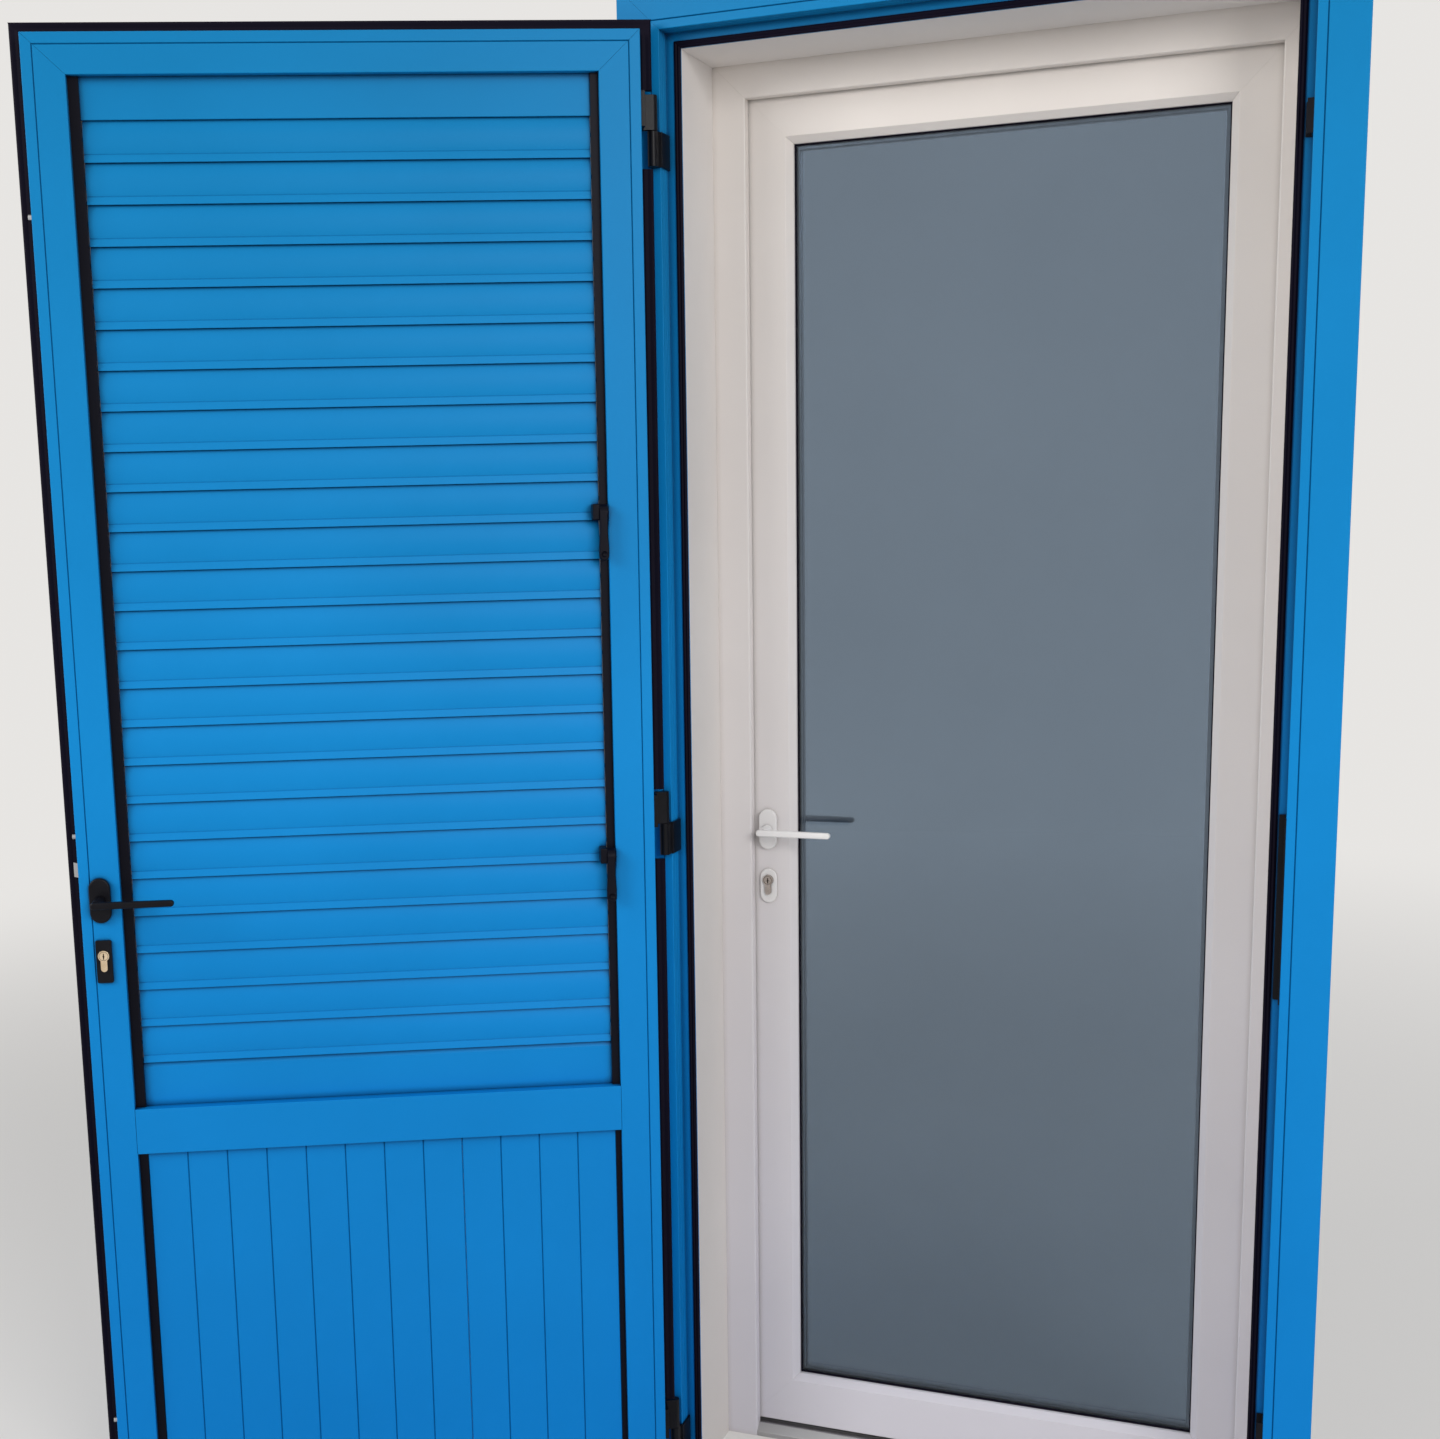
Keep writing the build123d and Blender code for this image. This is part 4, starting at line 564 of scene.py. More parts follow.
def makeWindowFrame():
    size = {"width": 69.0, "half": 35.0, "web": 24.0, "stop": -17.0, "weld": 0.3}
    width, half, web, stop = size["width"], size["half"], size["web"], size["stop"]
    section = soften([(0.0, -half, 2.5), (width, -half, 0.8), (width, half, 0.8), (web, half, 2.0),
                      (web, stop, 0.5), (0.0, stop, 0.8)])
    edge = windowOpening["edge"]
    bars = ringBars("frameBar", {"side": section}, (-edge, edge, 0.0, windowOpening["top"]), floor=0.0)
    for bar in bars.values():
        roundEdges(bar, size["weld"])
    piece = joinPieces("windowFrameProfiles", list(bars.values()))
    finishPiece(piece, "frame", "whiteProfile", ("window_frame",))


def makeThreshold():
    size = {"inner": 413.0, "half": 35.0, "bevel": 12.0, "stop": -17.0, "ribs": 5, "firstRib": 26.0,
            "ribPitch": 9.0, "ribHalf": 1.2, "ribDepth": 0.9}
    half, top = size["half"], windowOpening["sill"]
    outline = [(-half, 0.0, 0.3), (half, 0.0, 0.3), (half, top, 1.0)]
    for rib in range(size["ribs"]):
        y = size["firstRib"] - rib * size["ribPitch"]
        outline += [(y + size["ribHalf"], top, 0.2), (y, top - size["ribDepth"], 0.2),
                    (y - size["ribHalf"], top, 0.2)]
    outline += [(size["bevel"] - half, top, 3.0), (-half, top - size["bevel"], 1.5)]
    inner, edge = size["inner"], windowOpening["edge"]
    piece = pullLong("thresholdBar", soften(outline), -inner, inner)
    # the jambs' stops stand in front of its ends
    for low, high in ((-inner - 1.0, -edge), (edge, inner + 1.0)):
        cutBox(piece, (low, -half - 1.0, -1.0), (high, size["stop"], top + 1.0))
    roundEdges(piece, 0.3)
    finishPiece(piece, "frame", "sillMetal", ("threshold",))


def makeLining():
    size = {"left": -441.0, "right": 413.0, "head": 2257.6, "thick": 12.0, "front": -177.0,
            "back": -35.0, "ease": 0.6, "joint": 0.1}
    y0, y1 = size["front"], size["back"]
    z0, z1 = size["head"], size["head"] + size["thick"]
    start, end = size["left"] - size["thick"], size["right"] + size["thick"]
    boards = []
    for key, x0, x1 in (("Left", start, size["left"]), ("Right", size["right"], end)):
        section = soften([(x0, y0), (x1, y0), (x1, y1), (x0, y1)], size["ease"])
        boards.append(pullUp("liningBoard" + key, section, 0.0, z0 - size["joint"]))
    section = soften([(y0, z0), (y1, z0), (y1, z1), (y0, z1)], size["ease"])
    boards.append(pullLong("liningBoardHead", section, start, end))
    piece = joinPieces("revealBoards", boards)
    finishPiece(piece, "frame", "liningBoard", ("reveal_lining",))


def sashSection(width, lip):
    # from the glazing lip round the street face, the outer edge and the room face with its bead
    street = [(0.0, 6.0, 0.3), (0.0, -2.0, 0.8), (10.0, -14.0, 1.4), (width, -14.0, 2.0)]
    if lip:
        edge = [(width, 36.0, 0.5), (width + lip, 36.0, 1.5), (width + lip, 56.0, 2.5)]
    else:
        edge = [(width, 56.0, 2.0)]
    bead = [(25.0, 56.0, 0.6), (25.0, 53.0, 0.1), (24.0, 53.0, 0.1), (24.0, 55.0, 0.8),
            (9.0, 55.0, 5.0), (0.0, 45.0, 2.0), (0.0, 30.0, 0.3), (15.0, 30.0, 0.3), (15.0, 6.0, 0.3)]
    return soften(street + edge + bead)


def makeSash():
    size = {"edge": 321.2, "foot": 112.4, "top": 2140.2, "low": 24.4, "weld": 0.3, "footSlope": 1.1,
            "stile": 80.0, "lip": 20.0, "bottom": 88.0, "through": (-15.0, 57.0),
            "seals": (("Street", 5.9, -1.0), ("Room", 30.1, 1.0))}
    ring = (-size["edge"], size["edge"], size["foot"], size["top"])
    sections = {"side": sashSection(size["stile"], size["lip"]), "foot": sashSection(size["bottom"], 0.0)}
    bars = ringBars("sashBar", sections, ring, footSlope=size["footSlope"])
    for key in ("Left", "Right"):
        cutOff(bars[key], (0.0, 0.0, size["low"]), (0.0, 0.0, -1.0))
    for bar in bars.values():
        roundEdges(bar, size["weld"])
    cutLockHoles(bars["Left"], locks["window"], size["through"])
    piece = joinPieces("sashProfiles", list(bars.values()))
    finishPiece(piece, "sash", "whiteProfile", ("sash_frame",))

    # black glazing seals between the lips and the panes
    seals = []
    for name, y, way in size["seals"]:
        section = soften([(0.6, y), (-2.4, y, 0.3), (-2.2, y + 1.7 * way, 0.6), (0.6, y + 2.9 * way, 0.2)])
        seals += ringBars("seal" + name, {"side": section}, ring, footSlope=size["footSlope"],
                          gap=0.0).values()
    finishPiece(joinPieces("glazingSeals", seals), "sash", "blackRubber")


def makeGlazing():
    size = {"x": 333.2, "low": 100.4, "high": 2152.2, "street": 6.0, "pane": 4.0, "gap": 16.0,
            "spacerIn": 8.0, "spacerPlay": 0.2, "spacerHigh": 12.0, "spacerSlant": 3.6}
    x, low, high = size["x"], size["low"], size["high"]
    near = size["street"] + size["pane"]
    far = near + size["gap"]
    for name, depth in (("paneStreet", size["street"]), ("paneRoom", far)):
        outline = [(-x, depth, low), (x, depth, low), (x, depth, high), (-x, depth, high)]
        piece = pullOutline(name, outline, (0.0, size["pane"], 0.0))
        roundEdges(piece, 0.6)
        finishPiece(piece, "sash", "pane", ("glass_unit",))
    near += size["spacerPlay"]
    far -= size["spacerPlay"]
    tall, slant, inwards = size["spacerHigh"], size["spacerSlant"], size["spacerIn"]
    section = [(0.0, near), (0.0, far), (1.0 - tall, far), (-tall, far - slant), (-tall, near + slant),
               (1.0 - tall, near)]
    bars = ringBars("spacer", {"side": section}, (inwards - x, x - inwards, low + inwards, high - inwards))
    piece = joinPieces("paneSpacer", list(bars.values()))
    finishPiece(piece, "sash", "steel", ("glass_unit",))


makeWindowFrame()
makeThreshold()
makeLining()
makeSash()
makeGlazing()
print("window made")


# blue frame with its seals

def makeBlueFrame():
    size = {"left": -463.4, "right": 435.4, "top": 2280.0, "rebate": -22.4, "stop": -180.0,
            "face": -212.5, "wing": 65.6, "wingBack": -200.0, "fin": 30.0, "finBack": -177.0,
            "groove": 1.2, "grooveAt": 13.3, "grooveDeep": 1.6, "revealDeep": 1.4,
            "revealGrooves": (-187.0, -196.0, -204.0), "mitre": 0.12}
    at, half, face = size["grooveAt"], size["groove"], size["face"]
    rebate, stop, back = size["rebate"], size["stop"], size["finBack"]
    reveal = [(0.0, stop, 0.3)]
    for y in size["revealGrooves"]:
        reveal += [(0.0, y + half, 0.2), (size["revealDeep"], y, 0.0), (0.0, y - half, 0.2)]
    section = soften([(rebate, stop, 0.4), *reveal, (0.0, face, 1.2), (at - half, face, 0.3),
                      (at, face + size["grooveDeep"], 0.0), (at + half, face, 0.3),
                      (size["wing"], face, 1.4), (size["wing"], size["wingBack"], 0.8),
                      (size["fin"], size["wingBack"], 0.3), (size["fin"], back, 0.5),
                      (rebate, back, 0.4)])
    ring = (size["left"], size["right"], 0.0, size["top"])
    bars = ringBars("blueBar", {"side": section}, ring, floor=0.0, gap=size["mitre"])
    for key, name, node in (("Left", "jambLeftProfile", "shutter_jamb_left"),
                            ("Right", "jambRightProfile", "shutter_jamb_right"),
                            ("Top", "headProfile", "shutter_head")):
        roundEdges(bars[key], 0.25)
        rename(bars[key], name)
        finishPiece(bars[key], "frame", "blueCoat", (node,))

    # two-lipped strip on which the leaf closes, and the seal that the sash meets
    strip = soften([(rebate, stop, 0.0), (rebate, -182.2, 0.6), (-19.6, -184.0, 0.8), (-17.3, -182.4, 0.5),
                    (-15.0, -184.0, 0.8), (-12.2, -182.2, 0.6), (-12.2, stop, 0.0)])
    inner = soften([(1.0, -17.0, 0.0), (1.3, -15.4, 0.4), (3.5, -14.4, 0.9), (6.0, -15.6, 0.4),
                    (6.0, -17.0, 0.0)])
    seals = list(ringBars("rebateSeal", {"side": strip}, ring, floor=0.0, gap=0.0).values())
    edge = windowOpening["edge"]
    seals += ringBars("sashSeal", {"side": inner}, (-edge, edge, 0.0, windowOpening["top"]),
                      floor=windowOpening["sill"], gap=0.0).values()
    finishPiece(joinPieces("frameSeals", seals), "frame", "blackRubber",
                ("frame_gaskets",))


makeBlueFrame()
print("blue frame made")


# leaf

def makeLeafFrame():
    size = {"left": 81.1, "right": 833.1, "foot": 69.5, "top": 2212.5, "stile": 60.6, "rail": 57.5,
            "street": -1.1, "room": 41.1, "flange": 19.3, "flangeBack": 5.9, "groove": 1.2,
            "grooveIn": 16.4, "grooveDeep": 1.6, "mitre": 0.12, "floor": 12.0,
            "middleRail": (625.8, 697.6), "joint": 0.1}
    seat = {"low": (-10.0, -5.0), "high": (20.5, 14.0), "half": 55.0}
    # half width, foot and top of the slots in the lock stile's edge: the lock's and the two bolts'
    slots = {"edge": (890.7, 895.0), "middle": 20.0,
             "cuts": ((10.0, 889.0, 1162.0), (5.0, 2018.0, 2064.0), (5.0, 175.0, 221.0))}
    street, room, flange, back = size["street"], size["room"], size["flange"], size["flangeBack"]

    def barSection(width):
        at = width - size["grooveIn"]
        half = size["groove"]
        return soften([(0.0, street, 0.8), (width + flange, street, 0.8), (width + flange, back, 0.8),
                       (width, back, 0.3), (width, room, 1.2), (at + half, room, 0.3),
                       (at, room - size["grooveDeep"], 0.0), (at - half, room, 0.3), (0.0, room, 1.2)])

    def cutHingeSeats(piece):
        for height in leafHang["hinges"]:
            cutBox(piece, (*seat["low"], height - seat["half"]), (*seat["high"], height + seat["half"]))

    ring = (size["left"], size["right"], size["foot"], size["top"])
    slope = size["rail"] / size["stile"]
    rail = barSection(size["rail"])
    bars = ringBars("leafBar", {"side": barSection(size["stile"]), "top": rail, "foot": rail}, ring,
                    slope, slope, gap=size["mitre"])
    for bar in bars.values():
        cutOff(bar, (0.0, 0.0, size["floor"]), (0.0, 0.0, -1.0))
        roundEdges(bar, 0.25)
    cutHingeSeats(bars["Left"])
    near, far = slots["edge"]
    for half, low, high in slots["cuts"]:
        cutBox(bars["Right"], (near, slots["middle"] - half, low), (far, slots["middle"] + half, high))
    cutLockHoles(bars["Right"], locks["leaf"], (slots["middle"], room + 1.0))
    for key, name, node in (("Left", "leafStileHinge", "leaf_hinge_stile"),
                            ("Right", "leafStileLock", "leaf_lock_stile"),
                            ("Top", "leafRailTop", "leaf_top_rail"),
                            ("Foot", "leafRailBottom", "leaf_bottom_rail")):
        rename(bars[key], name)
        placeBy(bars[key], leafPlace)
        finishPiece(bars[key], "leaf", "blueCoat", (node,))

    low, high = size["middleRail"]
    section = soften([(street, low), (room, low), (room, high), (street, high)], 0.8)
    piece = pullLong("leafRailMiddle", section, size["left"] + size["joint"],
                     size["right"] - size["joint"])
    roundEdges(piece, 0.2)
    placeBy(piece, leafPlace)
    finishPiece(piece, "leaf", "blueCoat", ("leaf_mid_rail",))

    # dark seal on the flange, cut away beside the hinges
    def sealSection(low):
        return soften([(low, back, 0.0), (low + flange, back, 0.0), (low + flange, 10.6, 1.2),
                       (low + 16.5, 12.6, 1.5), (low + 11.0, 11.2, 1.0), (low + 6.0, 12.4, 1.0),
                       (low, 9.6, 0.8)])

    sections = {"side": sealSection(size["stile"]), "top": sealSection(size["rail"])}
    seals = ringBars("leafSeal", sections, ring, slope, floor=size["floor"], gap=0.0)
    cutHingeSeats(seals["Left"])
    piece = joinPieces("leafSeal", list(seals.values()))
    placeBy(piece, leafPlace)
    finishPiece(piece, "leaf", "blackRubber", ("leaf_gasket",))


slatRows = {"count": 24, "first": 2128.4, "pitch": 57.8}


def slatHeight(number):
    return slatRows["first"] - slatRows["pitch"] * (number - 1)


def makeSlats():
    size = {"start": 93.9, "end": 817.4, "depth": 20.0, "pivot": 3.0, "crankBack": 88.4,
            "crankThick": 2.2, "crankHalf": 3.4, "crankReach": 11.4, "crankTurn": 140.0,
            "crankPin": (13.87, 5.14), "crankPinRadius": 2.0, "pinTip": 84.2}

    def bow(count):
        # the blade's own curve from the crease over its middle to the tip
        curve = ((2.9, -19.6), (4.5, -3.0), (-1.6, 31.2))
        run = []
        for step in range(count + 1):
            h = curve[0][1] + (curve[2][1] - curve[0][1]) * step / count
            value = 0.0
            for i, (ai, hi) in enumerate(curve):
                weight = 1.0
                for j, (aj, hj) in enumerate(curve):
                    if i != j:
                        weight *= (h - hj) / (hi - hj)
                value += ai * weight
            run.append((value, h))
        return run

    # one face from the lip's edge to the tip; the other face is the same turned half round
    side = [(2.3, -32.1), (4.3, -32.2), (4.85, -31.9), (5.0, -31.3), (3.15, -21.4), (2.5, -20.9),
            (2.35, -20.3)] + bow(9)
    outline = side + [(-a, -h) for a, h in side]
    depth, start, end = size["depth"], size["start"], size["end"]
    parts = [pullLong("slatBlade", [(depth + a, h) for a, h in outline], start, end)]
    crankEnd = size["crankBack"] + size["crankThick"]
    rods = (((depth, 0.0), size["pivot"], size["crankBack"], start + 1.0),
            ((depth, 0.0), size["pivot"], end - 1.0, end + 4.0),
            (size["crankPin"], size["crankPinRadius"], size["pinTip"], crankEnd - 0.5))
    for centre, radius, low, high in rods:
        parts.append(pullLong("slatPin", arcRun(centre, radius, 0, 330, 11), low, high))
    turn = radians(size["crankTurn"])
    half, reach = size["crankHalf"], size["crankReach"]
    corners = soften([(-half, -half), (reach, -half), (reach, half), (-half, half)], 3.0)
    plate = [(depth + x * cos(turn) - y * sin(turn), x * sin(turn) + y * cos(turn)) for x, y in corners]
    parts.append(pullLong("slatCrank", plate, size["crankBack"], crankEnd))
    master = joinPieces("slatMaster", parts)
    for number in range(1, slatRows["count"] + 1):
        piece = copyPiece(master, f"leafSlat{number:02d}", (0.0, 0.0, slatHeight(number)))
        placeBy(piece, leafPlace)
        name = f"slat_{number:02d}"
        finishPiece(piece, name, "blueCoat", (name,))
    bpy.data.objects.remove(master)


def makeFillers():
    size = {"start": 93.2, "end": 818.1}
    top = soften([(14.0, 2212.4), (25.0, 2212.4), (25.0, 2154.0, 1.2), (21.6, 2154.0, 0.4),
                  (21.6, 2163.1, 0.3), (14.0, 2163.1)], 0.3)
    foot = soften([(14.0, 697.7), (22.0, 697.7), (22.0, 758.8, 2.5), (18.4, 766.8, 1.5),
                   (18.4, 773.4, 0.8), (14.0, 773.4)], 0.3)
    parts = [pullLong("filler", section, size["start"], size["end"]) for section in (top, foot)]
    piece = joinPieces("slatFillers", parts)
    placeBy(piece, leafPlace)
    finishPiece(piece, "leaf", "blueCoat", ("slat_fillers",))


def makeStaves():
    size = {"start": 89.6, "end": 819.6, "count": 12, "low": 69.6, "high": 625.7, "front": 30.0,
            "back": 16.0, "groove": 1.5, "joint": 0.05}
    width = (size["end"] - size["start"]) / size["count"]
    half, joint, front, back = size["groove"], size["joint"], size["front"], size["back"]
    section = soften([(joint, back), (width - joint, back), (width - joint, front - half, 0.2),
                      (width - half, front, 0.8), (half, front, 0.8), (joint, front - half, 0.2)], 0.2)
    master = pullUp("staveMaster", [(x + size["start"], v) for x, v in section], size["low"], size["high"])
    staves = [copyPiece(master, f"stave{number + 1:02d}", (width * number, 0.0, 0.0))
              for number in range(size["count"])]
    bpy.data.objects.remove(master)
    piece = joinPieces("panelStaves", staves)
    placeBy(piece, leafPlace)
    finishPiece(piece, "leaf", "blueCoat", ("stave_panel",))


def makeGrips():
    # clip on the slat's lip, a round boss and the lever that hangs from it
    size = {"start": 82.0, "bossOut": 44.0, "bossDown": 22.0, "bossRadius": 13.0, "bossLong": 13.5,
            "tipDown": 92.0, "tipRadius": 7.5, "middle": 7.7, "leverBack": 49.0, "leverThick": 8.0,
            "dimpleOut": 57.2, "dimpleUp": 9.5, "clipStart": 94.3, "clipEnd": 105.3,
            "clipBack": 25.0, "clipOut": 51.5, "clipFoot": -32.2, "clipTop": -8.4,
            "slats": ((10, "slat_grip_upper", "gripUpper"), (19, "slat_grip_lower", "gripLower"))}
    u, radius, long = size["start"], size["bossRadius"], size["bossLong"]
    middle, tipRadius = size["middle"], size["tipRadius"]
    for number, node, name in size["slats"]:
        axis = slatHeight(number)
        bossZ = axis - size["bossDown"]
        tip = axis - size["tipDown"]
        boss = turnProfile("gripBoss", [(0.0, 0.0), (radius - 1.5, 0.0), (radius, 1.5),
                                        (radius, long - 1.5), (radius - 0.6, long - 0.5),
                                        (radius - 1.8, long), (0.0, long)], 40)
        placeBy(boss, Matrix.Translation(Vector((u, size["bossOut"], bossZ)) * mm)
                @ Matrix.Rotation(radians(90.0), 4, "Y"))
        # the lever's front outline widens to its round tip
        top, waist, wide = bossZ + 4.0, bossZ - 28.0, tip + 20.0
        front = [(1.2, top), (1.5, waist), (0.2, wide)]
        front += arcRun((middle, tip + tipRadius), tipRadius, 180, 360, 12)
        front += [(15.2, wide), (13.6, waist), (13.4, top)]
        lever = pullOutline("gripLever", [(u + x, size["leverBack"], z) for x, z in front],
                            (0.0, size["leverThick"], 0.0))
        roundEdges(lever, 2.2, 4, 40.0)
        dimple = turnProfile("gripDimple", [(0.0, -3.0), (2.4, -2.6), (4.2, -1.4), (5.2, 1.0),
                                            (0.0, 1.0)], 24)
        placeBy(dimple, Matrix.Translation(Vector((u + middle, size["dimpleOut"],
                                                   tip + size["dimpleUp"])) * mm)
                @ Matrix.Rotation(radians(-90.0), 4, "X"))
        cutWith(lever, dimple)
        back, out = size["clipBack"], size["clipOut"]
        low, high = axis + size["clipFoot"], axis + size["clipTop"]
        block = pullLong("gripClip", soften([(back, low), (out, low), (out, high), (back, high)], 2.0),
                         size["clipStart"], size["clipEnd"])
        roundEdges(block, 1.5, 3, 50.0)
        piece = joinPieces(name, [boss, lever, block])
        placeBy(piece, leafPlace)
        finishPiece(piece, f"slat_{number:02d}", "blackPlastic", (node,))


makeLeafFrame()
makeSlats()
makeFillers()
makeStaves()
makeGrips()
softCopy("side_channels", "sideChannels", 0.5, "leaf", "blackPlastic")
print("leaf made")


# hinges

def knuckle(radius, low, high, cap):
    # a turned barrel with eased rims; with a cap its upper end is domed
    rim = 0.6
    profile = [(0.0, low), (radius - rim, low), (radius, low + rim), (radius, high - 1.0 - cap)]
    if cap:
        profile += [(radius - 0.4, high - cap), (radius - 1.6, high - 0.5 * cap),
                    (radius - 3.6, high - 0.15 * cap), (0.0, high)]
    else:
        profile += [(radius - 0.8, high), (0.0, high)]
    return turnProfile("knuckle", profile, 36)


def makeKnuckles(size, lowPlace, highPlace):
    # at each height a lower barrel, and a domed one that turns on it
    lows = []
    highs = []
    for height in size["heights"]:
        low = knuckle(size["radius"], height - size["height"], height - size["gap"], 0.0)
        placeBy(low, lowPlace)
        lows.append(low)
        high = knuckle(size["radius"], height + size["gap"], height + size["height"], size["cap"])
        placeBy(high, highPlace)
        highs.append(high)
    return lows, highs


def makeHinges():
    size = {"radius": 7.5, "height": 50.0, "gap": 0.25, "cap": 2.5, "heights": leafHang["hinges"]}
    pin = Matrix.Translation(Vector((*leafHang["pin"], 0.0)) * mm)
    lows, highs = makeKnuckles(size, pin, leafPlace)
    softCopy("shutter_hinge_flags", "hingeFlags", 0.5, "frame", "blackMetal", lows)
    softCopy("shutter_hinge_leaves", "hingeLeaves", 0.5, "leaf", "blackMetal", highs)
    size = {"radius": 7.0, "height": 40.0, "gap": 0.25, "cap": 2.5, "pin": (431.2, 62.0),
            "heights": (250.0, 1150.0, 2050.0)}
    pin = Matrix.Translation(Vector((*size["pin"], 0.0)) * mm)
    lows, highs = makeKnuckles(size, pin, pin)
    softCopy("sash_hinge_frame_parts", "sashHingeFrame", 0.5, "frame", "whiteLacquer", lows)
    softCopy("sash_hinge_sash_parts", "sashHingeSash", 0.5, "sash", "whiteLacquer", highs)


makeHinges()
softCopy("strike_plates", "strikePlates", 0.4, "frame", "blackMetal")
print("hinges and keepers made")


# handles, plates and cylinders, made flat with Z outwards and Y up, and then placed

def facing(place, depth, along, outward):
    x = Vector(along)
    z = Vector(outward)
    turn = Matrix((x, z.cross(x), z)).transposed().to_4x4()
    return Matrix.Translation(Vector((place[0], depth, place[1])) * mm) @ turn


leafFace = leafPlace @ facing(locks["leaf"], 41.1, (-1.0, 0.0, 0.0), (0.0, 1.0, 0.0))
streetFace = facing(locks["window"], -14.0, (1.0, 0.0, 0.0), (0.0, -1.0, 0.0))
roomFace = facing(locks["window"], 56.0, (-1.0, 0.0, 0.0), (0.0, 1.0, 0.0))

# the cylinder's standard outline: a round head, a narrower tail below it, and the waist's half angle
cylinder = {"radius": 8.5, "tail": 5.0, "fall": 19.5, "waist": 36.0, "steps": 14}


def makeLever(way, spindle):
    # a turned neck, the blade on it, and the square spindle behind
    size = {"length": 107.0, "reach": 48.0, "thick": 9.0, "height": 11.0, "tail": 8.5, "taper": 0.9,
            "foot": 8.4, "neck": 41.0, "spindle": 4.0, "spindleEnd": 18.0}
    foot, top = size["foot"], size["neck"]
    neck = turnProfile("leverNeck", [(0.0, foot), (8.0, foot), (8.5, 8.9), (8.5, 12.0), (7.7, 17.0),
                                     (7.4, 26.0), (7.4, 36.0), (7.2, top), (0.0, top)], 40)
    half = size["height"] / 2
    start = half - size["tail"]
    end = size["length"] + size["tail"] - half
    tip = arcRun((end, 0.0), half * size["taper"], 90, -90, 12)
    tail = arcRun((start, 0.0), half, 270, 90, 12)
    outline = [(way * x, y) for x, y in [(start, half)] + tip + tail[:-1]]
    blade = pullUp("leverBlade", outline, size["reach"] - size["thick"], size["reach"])
    roundEdges(blade, 2.8, 5, 40.0)
    half = size["spindle"]
    bar = pullUp("leverSpindle", [(-half, -half), (half, -half), (half, half), (-half, half)], spindle,
                 size["spindleEnd"])
    return [neck, blade, bar]


def stadium(width, length):
    # upright, with both ends round
    radius = width / 2
    half = length / 2 - radius
    return arcRun((0.0, half), radius, 0, 180, 12) + arcRun((0.0, -half), radius, 180, 360, 12)


def makeRose(width, length):
    size = {"thick": 8.0, "ease": 2.4, "hole": 6.6}
    plate = pullUp("rosePlate", stadium(width, length), 0.0, size["thick"])
    roundEdges(plate, size["ease"], 4, 60.0)
    hole = size["hole"]
    cutBox(plate, (-hole, -hole, -1.0), (hole, hole, size["thick"] + 1.0))
    return plate


def cylinderOutline(gap):
    # at its place below the lever, wider all round by the gap
    steps, waist, drop = cylinder["steps"], cylinder["waist"], locks["drop"]
    head = arcRun((0.0, -drop), cylinder["radius"] + gap, waist - 90.0, 270.0 - waist, 2 * steps)
    foot = arcRun((0.0, -drop - cylinder["fall"]), cylinder["tail"] + gap, 180.0, 360.0, steps)
    return head + foot


def makeEscutcheon(outline, ease):
    size = {"thick": 5.0, "play": 0.2}
    middle = locks["drop"] + cylinder["fall"] / 2
    plate = pullUp("escutcheonPlate", [(x, y - middle) for x, y in outline], 0.0, size["thick"])
    roundEdges(plate, ease, 4, 60.0)
    cutWith(plate, pullUp("cutter", cylinderOutline(size["play"]), -1.0, size["thick"] + 1.0))
    return plate


def makeBarrel(name, start):
    # the cylinder with the ring round its plug and the key's slot
    size = {"end": 9.0, "ring": (6.3, 7.0), "ringDeep": 0.8, "slotDeep": 6.0,
            "slots": ((0.8, -5.0, 4.0), (1.5, -1.6, 0.2))}
    end, drop = size["end"], locks["drop"]
    barrel = pullUp(name, cylinderOutline(0.0), start, end)
    roundEdges(barrel, 0.4, 2, 60.0)
    inner, outer = size["ring"]
    low, high = end - size["ringDeep"], end + 1.0
    ring = turnProfile("lockGroove", [(inner, low), (inner, high), (outer, high), (outer, low),
                                      (inner, low)], 40)
    placeBy(ring, Matrix.Translation(Vector((0.0, -drop, 0.0)) * mm))
    cutWith(barrel, ring)
    for half, foot, top in size["slots"]:
        cutBox(barrel, (-half, foot - drop, end - size["slotDeep"]), (half, top - drop, high))
    return barrel


def makeFurniture():
    size = {"leafSpindle": -28.0, "leafRose": (32.0, 69.0), "leafPlate": (12.0, 33.0), "leafEase": 1.2,
            "windowSpindle": -35.0, "windowRose": (30.0, 67.0), "windowOval": (28.0, 57.0),
            "windowEase": 1.8}
    lever = joinPieces("leafHandle", makeLever(1.0, size["leafSpindle"]))
    placeBy(lever, leafFace)
    finishPiece(lever, "shutter_handle", "blackMetal", ("shutter_handle",))
    x, y = size["leafPlate"]
    box = soften([(-x, -y), (x, -y), (x, y), (-x, y)], 2.5)
    plates = joinPieces("leafLockPlates", [makeRose(*size["leafRose"]),
                                           makeEscutcheon(box, size["leafEase"])])
    placeBy(plates, leafFace)
    finishPiece(plates, "leaf", "blackMetal", ("shutter_lock_plates",))

    levers = []
    plates = []
    for way, face in ((1.0, streetFace), (-1.0, roomFace)):
        lever = makeLever(way, size["windowSpindle"])
        plate = [makeRose(*size["windowRose"]),
                 makeEscutcheon(stadium(*size["windowOval"]), size["windowEase"])]
        for part in lever + plate:
            placeBy(part, face)
        levers += lever
        plates += plate
    lever = joinPieces("windowHandle", levers)
    finishPiece(lever, "window_handle", "whiteLacquer", ("window_handle",))
    plates = joinPieces("windowLockPlates", plates)
    finishPiece(plates, "sash", "whiteLacquer", ("window_lock_plates",))


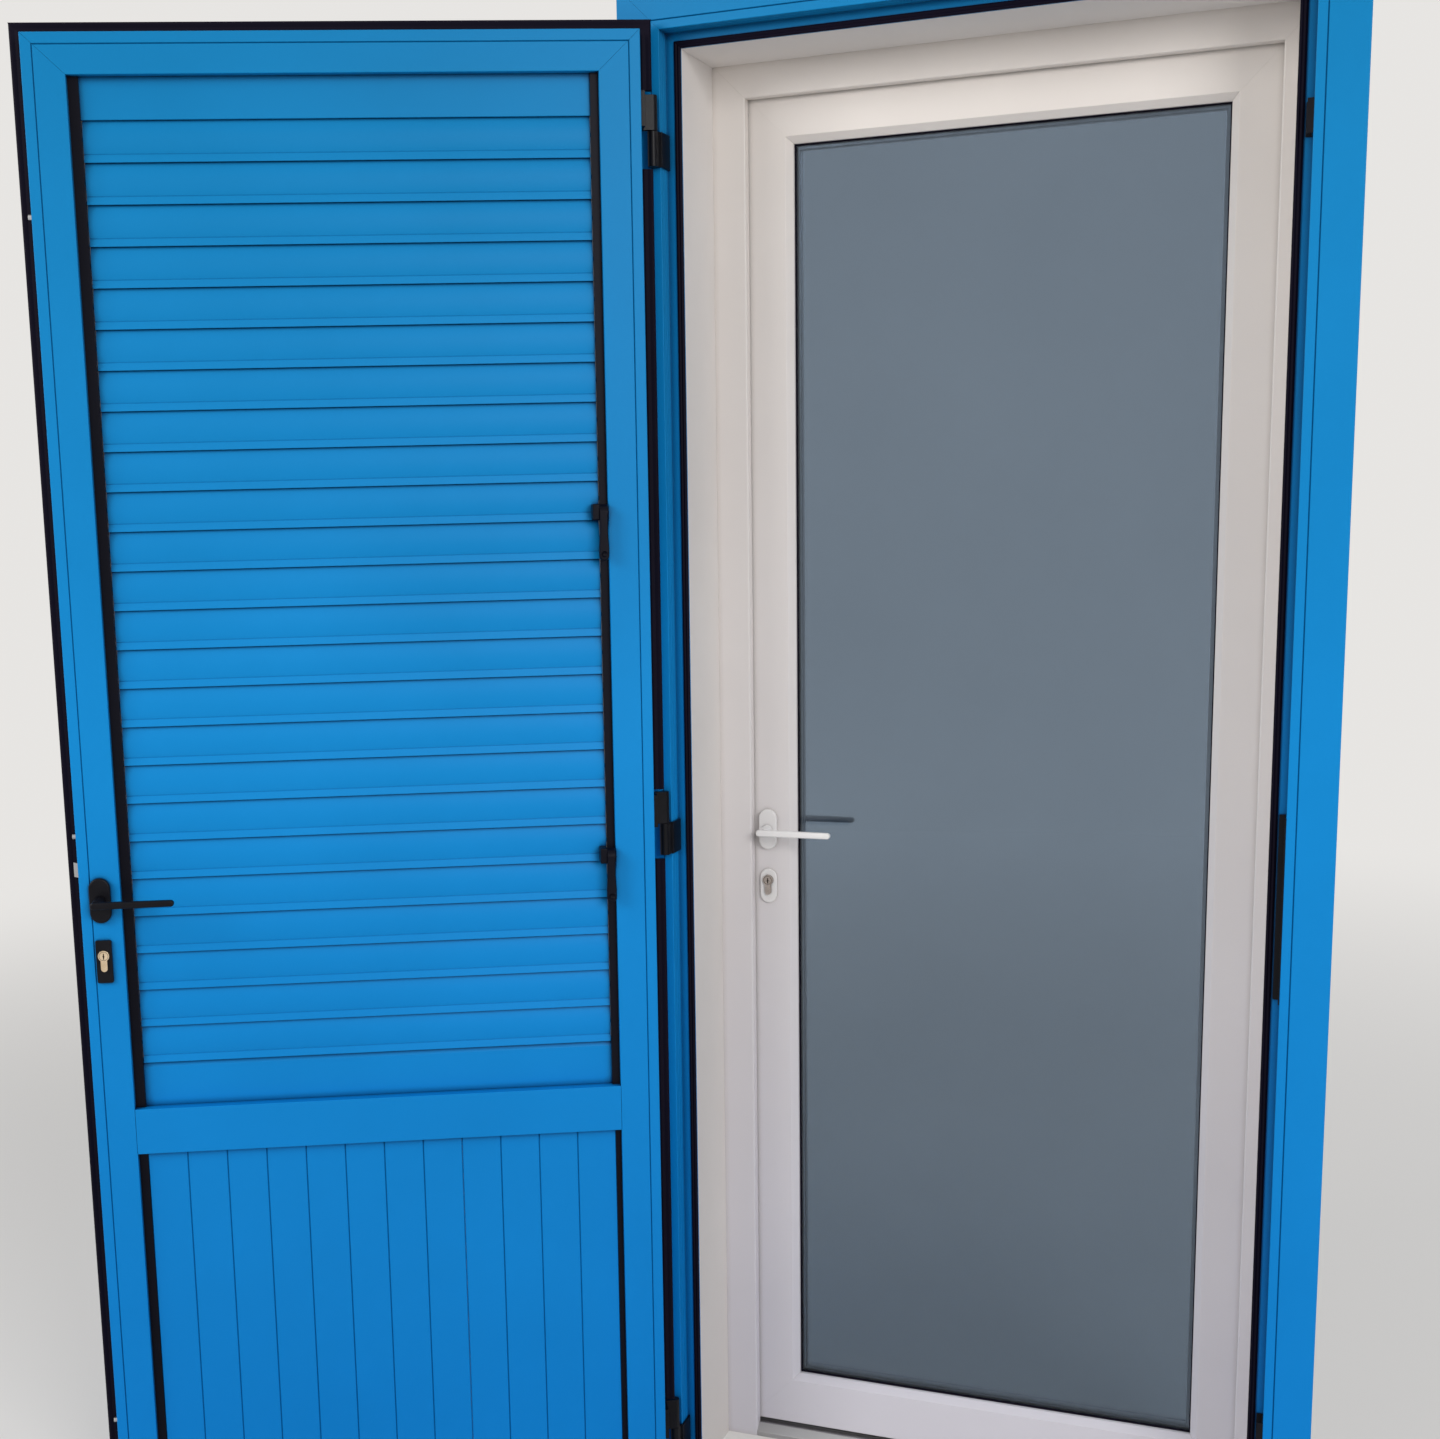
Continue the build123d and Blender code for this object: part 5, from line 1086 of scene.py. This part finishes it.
def makeLock(node, name, body, metal, start, barrels):
    # the case is the CAD's own, and finer cylinders take the place of its plain one
    outwards = barrels[-1][1].inverted()
    case = mergedCopy(node, name)
    dropPart(case, lambda corner: (outwards @ corner).z > 2.0 * mm)
    finishPiece(case, body, "nickel", (node,))
    for barrelName, face in barrels:
        barrel = makeBarrel(barrelName, start)
        placeBy(barrel, face)
        finishPiece(barrel, body, metal, (node,))


makeFurniture()
makeLock("shutter_lock", "leafLockCase", "leaf", "brass", -41.5, [("leafLockBarrel", leafFace)])
makeLock("window_lock", "windowLockCase", "sash", "nickel", -34.9,
         [("windowBarrelStreet", streetFace), ("windowBarrelRoom", roomFace)])
print("handles and locks made")


# floor

def makeFloor():
    tone = {"floor": (0.68, 0.665, 0.645), "lift": (0.14, 0.137, 0.133), "near": 2.2, "far": 6.0,
            "size": 60.0}
    material, tree = startMaterial("floorTone")
    matt = addNode(tree, "ShaderNodeBsdfDiffuse", {"Color": (*tone["floor"], 1.0)})
    lift = addNode(tree, "ShaderNodeEmission", {"Color": (*tone["lift"], 1.0), "Strength": seenRays(tree)})
    both = addNode(tree, "ShaderNodeAddShader", {0: matt.outputs[0], 1: lift.outputs[0]})
    # away from the object the floor passes into the backdrop
    place = addNode(tree, "ShaderNodeTexCoord").outputs["Object"]
    span = addNode(tree, "ShaderNodeVectorMath", {0: place}, operation="LENGTH")
    fade = addNode(tree, "ShaderNodeMapRange",
                   {"Value": span.outputs["Value"], "From Min": tone["near"], "From Max": tone["far"]},
                   interpolation_type="SMOOTHSTEP")
    share = addNode(tree, "ShaderNodeMath", {0: fade.outputs["Result"], 1: seenRays(tree)},
                    operation="MULTIPLY")
    plain = addNode(tree, "ShaderNodeEmission", {"Color": (*backdropTone, 1.0)})
    mix = addNode(tree, "ShaderNodeMixShader",
                  {0: share.outputs[0], 1: both.outputs[0], 2: plain.outputs[0]})
    addNode(tree, "ShaderNodeOutputMaterial", {"Surface": mix.outputs[0]})
    deselectAll()
    bpy.ops.mesh.primitive_plane_add(size=tone["size"], location=(0.0, 0.0, 0.0))
    floor = bpy.context.active_object
    floor.name = "floor"
    floor.data.materials.append(material)


makeFloor()
